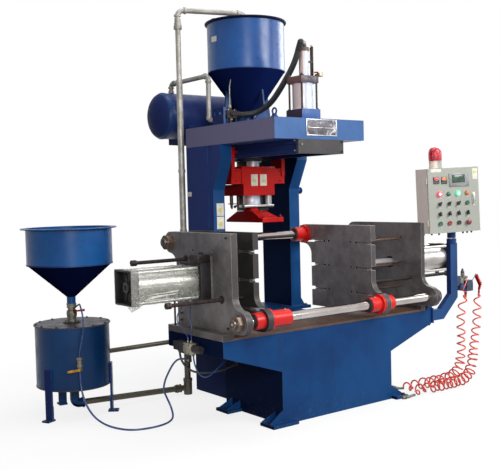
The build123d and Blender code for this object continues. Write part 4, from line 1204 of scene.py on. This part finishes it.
sleeve = Piece("swivel_sleeve", "control_cabinet", "blue_paint")
sleeve.ring(30.1, 31.6, 1106, 1149, (1178, -305, 0), UP, blue, 40)
sleeve.done()
dome = Piece("beacon_dome_dressed", "control_cabinet", "red_plastic", CABINET)
shape = [(0, 532), (45, 532), (47, 538), (48, 560), (47, 592), (44, 612), (37, 626), (25, 634), (0, 637)]
dome.turned(shape, (0, -90, 0), UP, looks["red_plastic"], 48)
for across, along in circle(1, 14):
    rib = [(reach * across, -90 + reach * along, z) for reach, z in ((47, 542), (47.6, 575), (45.2, 606))]
    dome.bar(rib, 1.8, dome_rib, 8)
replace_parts(dome.done(), "beacon_dome")

# Regulator on the arm: cross fitting, bowl, knob and the red feed tube; gun trigger
red_hose = looks["red_hose_plastic"]
regulator = Piece("regulator_trim", "machine", "black_plastic")
knob = [(14, 0), (14, 6), (11, 10), (9, 20), (5, 30), (0, 32)]
regulator.turned(knob, (1303, -305, 834), UP, black_part, 20)
regulator.turned([(15, 0), (15, 22), (12, 24), (0, 24)], (1303, -305, 806), UP, valve_grey, 6)
regulator.nipple(13, 16, 10.6, 18, 26, (1326, -305, 795), RIGHT, valve_grey)
regulator.turned([(14, 0), (14, 18), (10.8, 20), (0, 20)], (1262, -305, 795), RIGHT, valve_grey, 6)
bowl = [(10, 0), (18.6, 4), (19.4, 12), (19.4, 44), (15, 52), (0, 54)]
regulator.turned(bowl, (1284, -305, 798), DOWN, panel_grey, 28)
regulator.turned([(16, 0), (17, 2), (17, 5), (12, 8), (0, 8)], (1303, -318, 795), FRONT, valve_grey, 24)
regulator.block((1256, -324.6, 748), (1324, -285.6, 753), black_part, 1.5)
regulator.block((1262, -323.4, 706), (1318, -321, 742), looks["blue_hose_plastic"], 1)
for x in (1330, 1380):
    regulator.cap_screw((x, -333, 724), FRONT, 5)
tube_line = [
    (1316, -330, 792), (1308, -338, 776), (1288, -342, 745), (1266, -342, 716), (1262, -340, 702),
    (1276, -338, 694), (1302, -336, 690), (1320, -330, 682), (1330, -318, 668), (1335, -306, 650),
]
regulator.bar(tube_line, 4.2, red_hose, 10)
regulator.nipple(11, 12, 8, 14, 22, (1335, -305, 660), DOWN, red_hose)
regulator.done()
gun = Piece("air_gun_trim", "machine", "red_paint")
gun.bar([(1486, -305, 784), (1508, -305, 766), (1522, -305, 744), (1524, -305, 728)], 3.4, black_part, 10)
# a pale stripe along the gun: a painted highlight
gun.bar([(1478, -318, 786), (1507, -318, 744)], 3, label_paper, 10)
gun.nipple(9, 12, 6, 14, 22, (1496, -305, 652), (-0.1, 0, -1), silver)
gun.done()

# Sand transmitter: lid bolts, inlet and drain valve bodies, levers' grips, leg bolts
TANK = (-1356, 897)
lids = Piece("transmitter_ends_dressed", "machine", "dark_steel")
lids.turned([(0, 0), (248, 0), (250, 2), (250, 8), (0, 8)], (*TANK, 197), UP, lid_paint, 72)
lids.turned([(0, 0), (256, 0), (258, 2), (258, 8), (256, 10), (0, 10)], (*TANK, 612), UP, lid_paint, 96)
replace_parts(lids.done(), "transmitter_ends")
transmitter = Piece("transmitter_trim", "machine", "dark_steel")
for x, y in circle(241, 12, 10):
    transmitter.bolt((TANK[0] + x, TANK[1] + y, 622), UP, 8)
transmitter.ring(249.6, 252.6, 200, 208, (*TANK, 0), UP, lid_paint, 72)
transmitter.ring(286.6, 289.8, 1022, 1032, (*TANK, 0), UP, blue, 72)
half = [(24, 0), (34, 0), (34, 16), (27, 18), (27, 30), (36, 36)]
waist = half + [(38, 56), (36, 74), (27, 80), (27, 92), (34, 94), (34, 110), (24, 110)]
transmitter.turned(waist, (*TANK, 629), UP, valve_grey, 8, True)
transmitter.ring(29, 34, 744, 754, (*TANK, 0), UP, valve_grey, 36)
transmitter.ring(30, 60, 0, 7, (*TANK, 622), UP, dark_bolt, 32)
for x, y in circle(49, 6):
    transmitter.cap_screw((TANK[0] + x, TANK[1] + y, 629), UP, 6)
for x, y in circle(284, 3, 85):
    transmitter.bolt((TANK[0] + x, TANK[1] + y, 12), UP, 8)
collar = [(32, 0), (38, 2), (38, 10), (32, 12)]
transmitter.turned(collar, (-1302, 889.9, 63), (0.98, -0.12, -0.01), blue, 30)
transmitter.done()
drain = Piece("drain_trim", "machine", "brass")
outline = [(17, 0), (21, 2), (21, 16), (17.4, 20), (17.4, 46), (21, 50), (21, 66), (17, 68)]
drain.turned(outline, (-1431, 636, 362), UP, valve_grey, 8, True)
drain.turned([(12, 0), (17, 3), (20, 12), (17, 22), (12, 25)], (-1431, 636, 336), UP, valve_grey, 20)
drain.turned([(12, 0), (12, 16), (0, 16)], (-1431, 626, 348), FRONT, valve_grey, 6)
drain.done()
grip = Piece("drain_grip", "drain_valve_handle", "yellow_plastic")
grip.block((-1532, 605.4, 340), (-1450, 612.6, 356), looks["yellow_plastic"], 2.5)
grip.turned([(10, 0), (10, 5), (6, 8), (0, 8)], (-1431, 607, 348), FRONT, dark_bolt, 6)
grip.done()
grip = Piece("inlet_grip", "inlet_valve_lever", "red_paint")
grip.block((-1318, 839.4, 697), (-1284, 847.6, 713), red, 2.5)
grip.turned([(12, 0), (12, 4), (8, 8), (0, 8)], (-1356, 841, 705), FRONT, dark_bolt, 6)
grip.done()

# Valve block on the bed's left end: pale body, round solenoid, nuts
valves = Piece("valve_block_trim", "machine", "bright_steel")
valves.block((-1005.4, -41, 479), (-961, 40, 549), beige, 2)
valves.block((-1005, 44, 482), (-958, 84, 547), black, 2)
for y, z in product((-30, 28), (488, 540)):
    valves.cap_screw((-1005, y, z), LEFT, 5)
solenoid = [(0, 0), (17, 0), (19, 3), (19, 44), (16, 47), (9, 47), (9, 54), (0, 54)]
valves.turned(solenoid, (-975, -41, 516), FRONT, gate_steel, 28)
valves.ring(19.2, 21, 14, 20, (-975, -41, 516), FRONT, dark_bolt, 28)
for x, y, z, axis in (
    (-975, 24, 548, UP), (-975, -12, 548, UP), (-945, 108, 813, DOWN), (-945, 30, 813, DOWN),
):
    valves.nipple(8, 10, 5.4, 12, 17, (x, y, z), axis, silver)
valves.nipple(13, 12, 9, 14, 20, (-955, 0, 481), DOWN, valve_grey)
valves.nipple(15, 14, 11, 16, 22, (-968, 140, 493), DOWN, valve_grey)
valves.nipple(14, 14, 10, 16, 20, (-985, -8, 440), (0, 1, 0), brass)
valves.done()

# Hose ends by the pedestal
socket = Piece("hose_socket", "machine", "brass")
socket.block((500, -271, 45), (566, -239, 77), panel_grey, 3)
outline = [(14, 0), (16, 3), (16, 22), (12, 26), (9, 40), (0, 40)]
socket.turned(outline, (566, -256.5, 58), (0.98, -0.12, -0.24), dark_bolt, 6)
outline = [(13, 0), (14, 3), (14, 20), (10, 24), (10, 34), (0, 34)]
socket.turned(outline, (540, -389.5, 15), (0.98, -0.12, 0.03), dark_bolt, 6)
socket.done()

# Floor and light
REACH = 30
corners = [(-REACH, -REACH, 0), (REACH, -REACH, 0), (REACH, REACH, 0), (-REACH, REACH, 0)]
floor_mesh = bpy.data.meshes.new("floor")
floor_mesh.from_pydata(corners, [], [(0, 1, 2, 3)])
floor = bpy.data.objects.new("floor", floor_mesh)
bpy.context.scene.collection.objects.link(floor)
pale = Shader("pale_floor")
looked_at = pale.rays("Is Camera Ray", "Is Glossy Ray", "Is Transmission Ray")
ground = pale.mix(pale.noise(1.2, 3, 0.5), rgb(250, 250, 250), rgb(254, 254, 254))
pale.finish(pale.mix(looked_at, rgb(120, 120, 122), ground), 0.9)
pale.bsdf.inputs["Specular IOR Level"].default_value = 0
distance = pale.add("ShaderNodeVectorMath", operation="DISTANCE")
pale.plug(pale.place, distance.inputs[0])
pale.plug((-0.1, 0.2, 0), distance.inputs[1])
far_away = pale.step(distance.outputs["Value"], 1.0, 3.2, 0.8, 1)
shine = pale.node("ShaderNodeEmission", 0, {"Color": (1, 1, 1, 1), "Strength": 1})
share = pale.math("MULTIPLY", far_away, looked_at)
pale.surface(share, pale.bsdf.outputs[0], shine, "Material Output")
floor_mesh.materials.append(pale.material)

world = bpy.data.worlds.new("studio")
bpy.context.scene.world = world
world.use_nodes = True
studio = Nodes(world.node_tree)
background = world.node_tree.nodes["Background"]
studio.plug((0.93, 0.95, 1, 1), background.inputs["Color"])
studio.plug(0.16, background.inputs["Strength"])
white = studio.node("ShaderNodeBackground", 0, {"Color": (1, 1, 1, 1), "Strength": 1})
seen = studio.rays("Is Camera Ray", "Is Transmission Ray", "Is Glossy Ray")
studio.surface(seen, background.outputs[0], white, "World Output")


def lamp(name, place, target, size, power, colour=(1, 1, 1)):
    data = bpy.data.lights.new(name, "AREA")
    data.shape = "RECTANGLE"
    data.size = size[0]
    data.size_y = size[1]
    data.energy = power
    data.color = colour
    light = bpy.data.objects.new(name, data)
    aim = (Vector(target) - Vector(place)).to_track_quat("-Z", "Y")
    light.matrix_world = Matrix.Translation(place) @ aim.to_matrix().to_4x4()
    bpy.context.scene.collection.objects.link(light)


lamp("key_lamp", (1.7, -3.9, 3.5), (0, 0, 1.3), (2.0, 2.0), 190, (1, 0.99, 0.97))
lamp("front_lamp", (-3.4, -4.9, 2.3), (-0.2, 0.2, 1.0), (1.8, 1.8), 190, (1, 1, 1))
lamp("right_lamp", (5.0, -2.8, 2.7), (0, 0.4, 2.2), (1.2, 2.6), 50, (0.97, 0.98, 1))
lamp("side_lamp", (3.6, 0.7, 3.3), (0, 0.64, 2.5), (1.9, 1.4), 70, (0.95, 0.95, 1))
lamp("top_lamp", (0, 0.4, 6.0), (0, 0.4, 0), (4, 3), 150)

bpy.context.scene.view_settings.view_transform = "Standard"
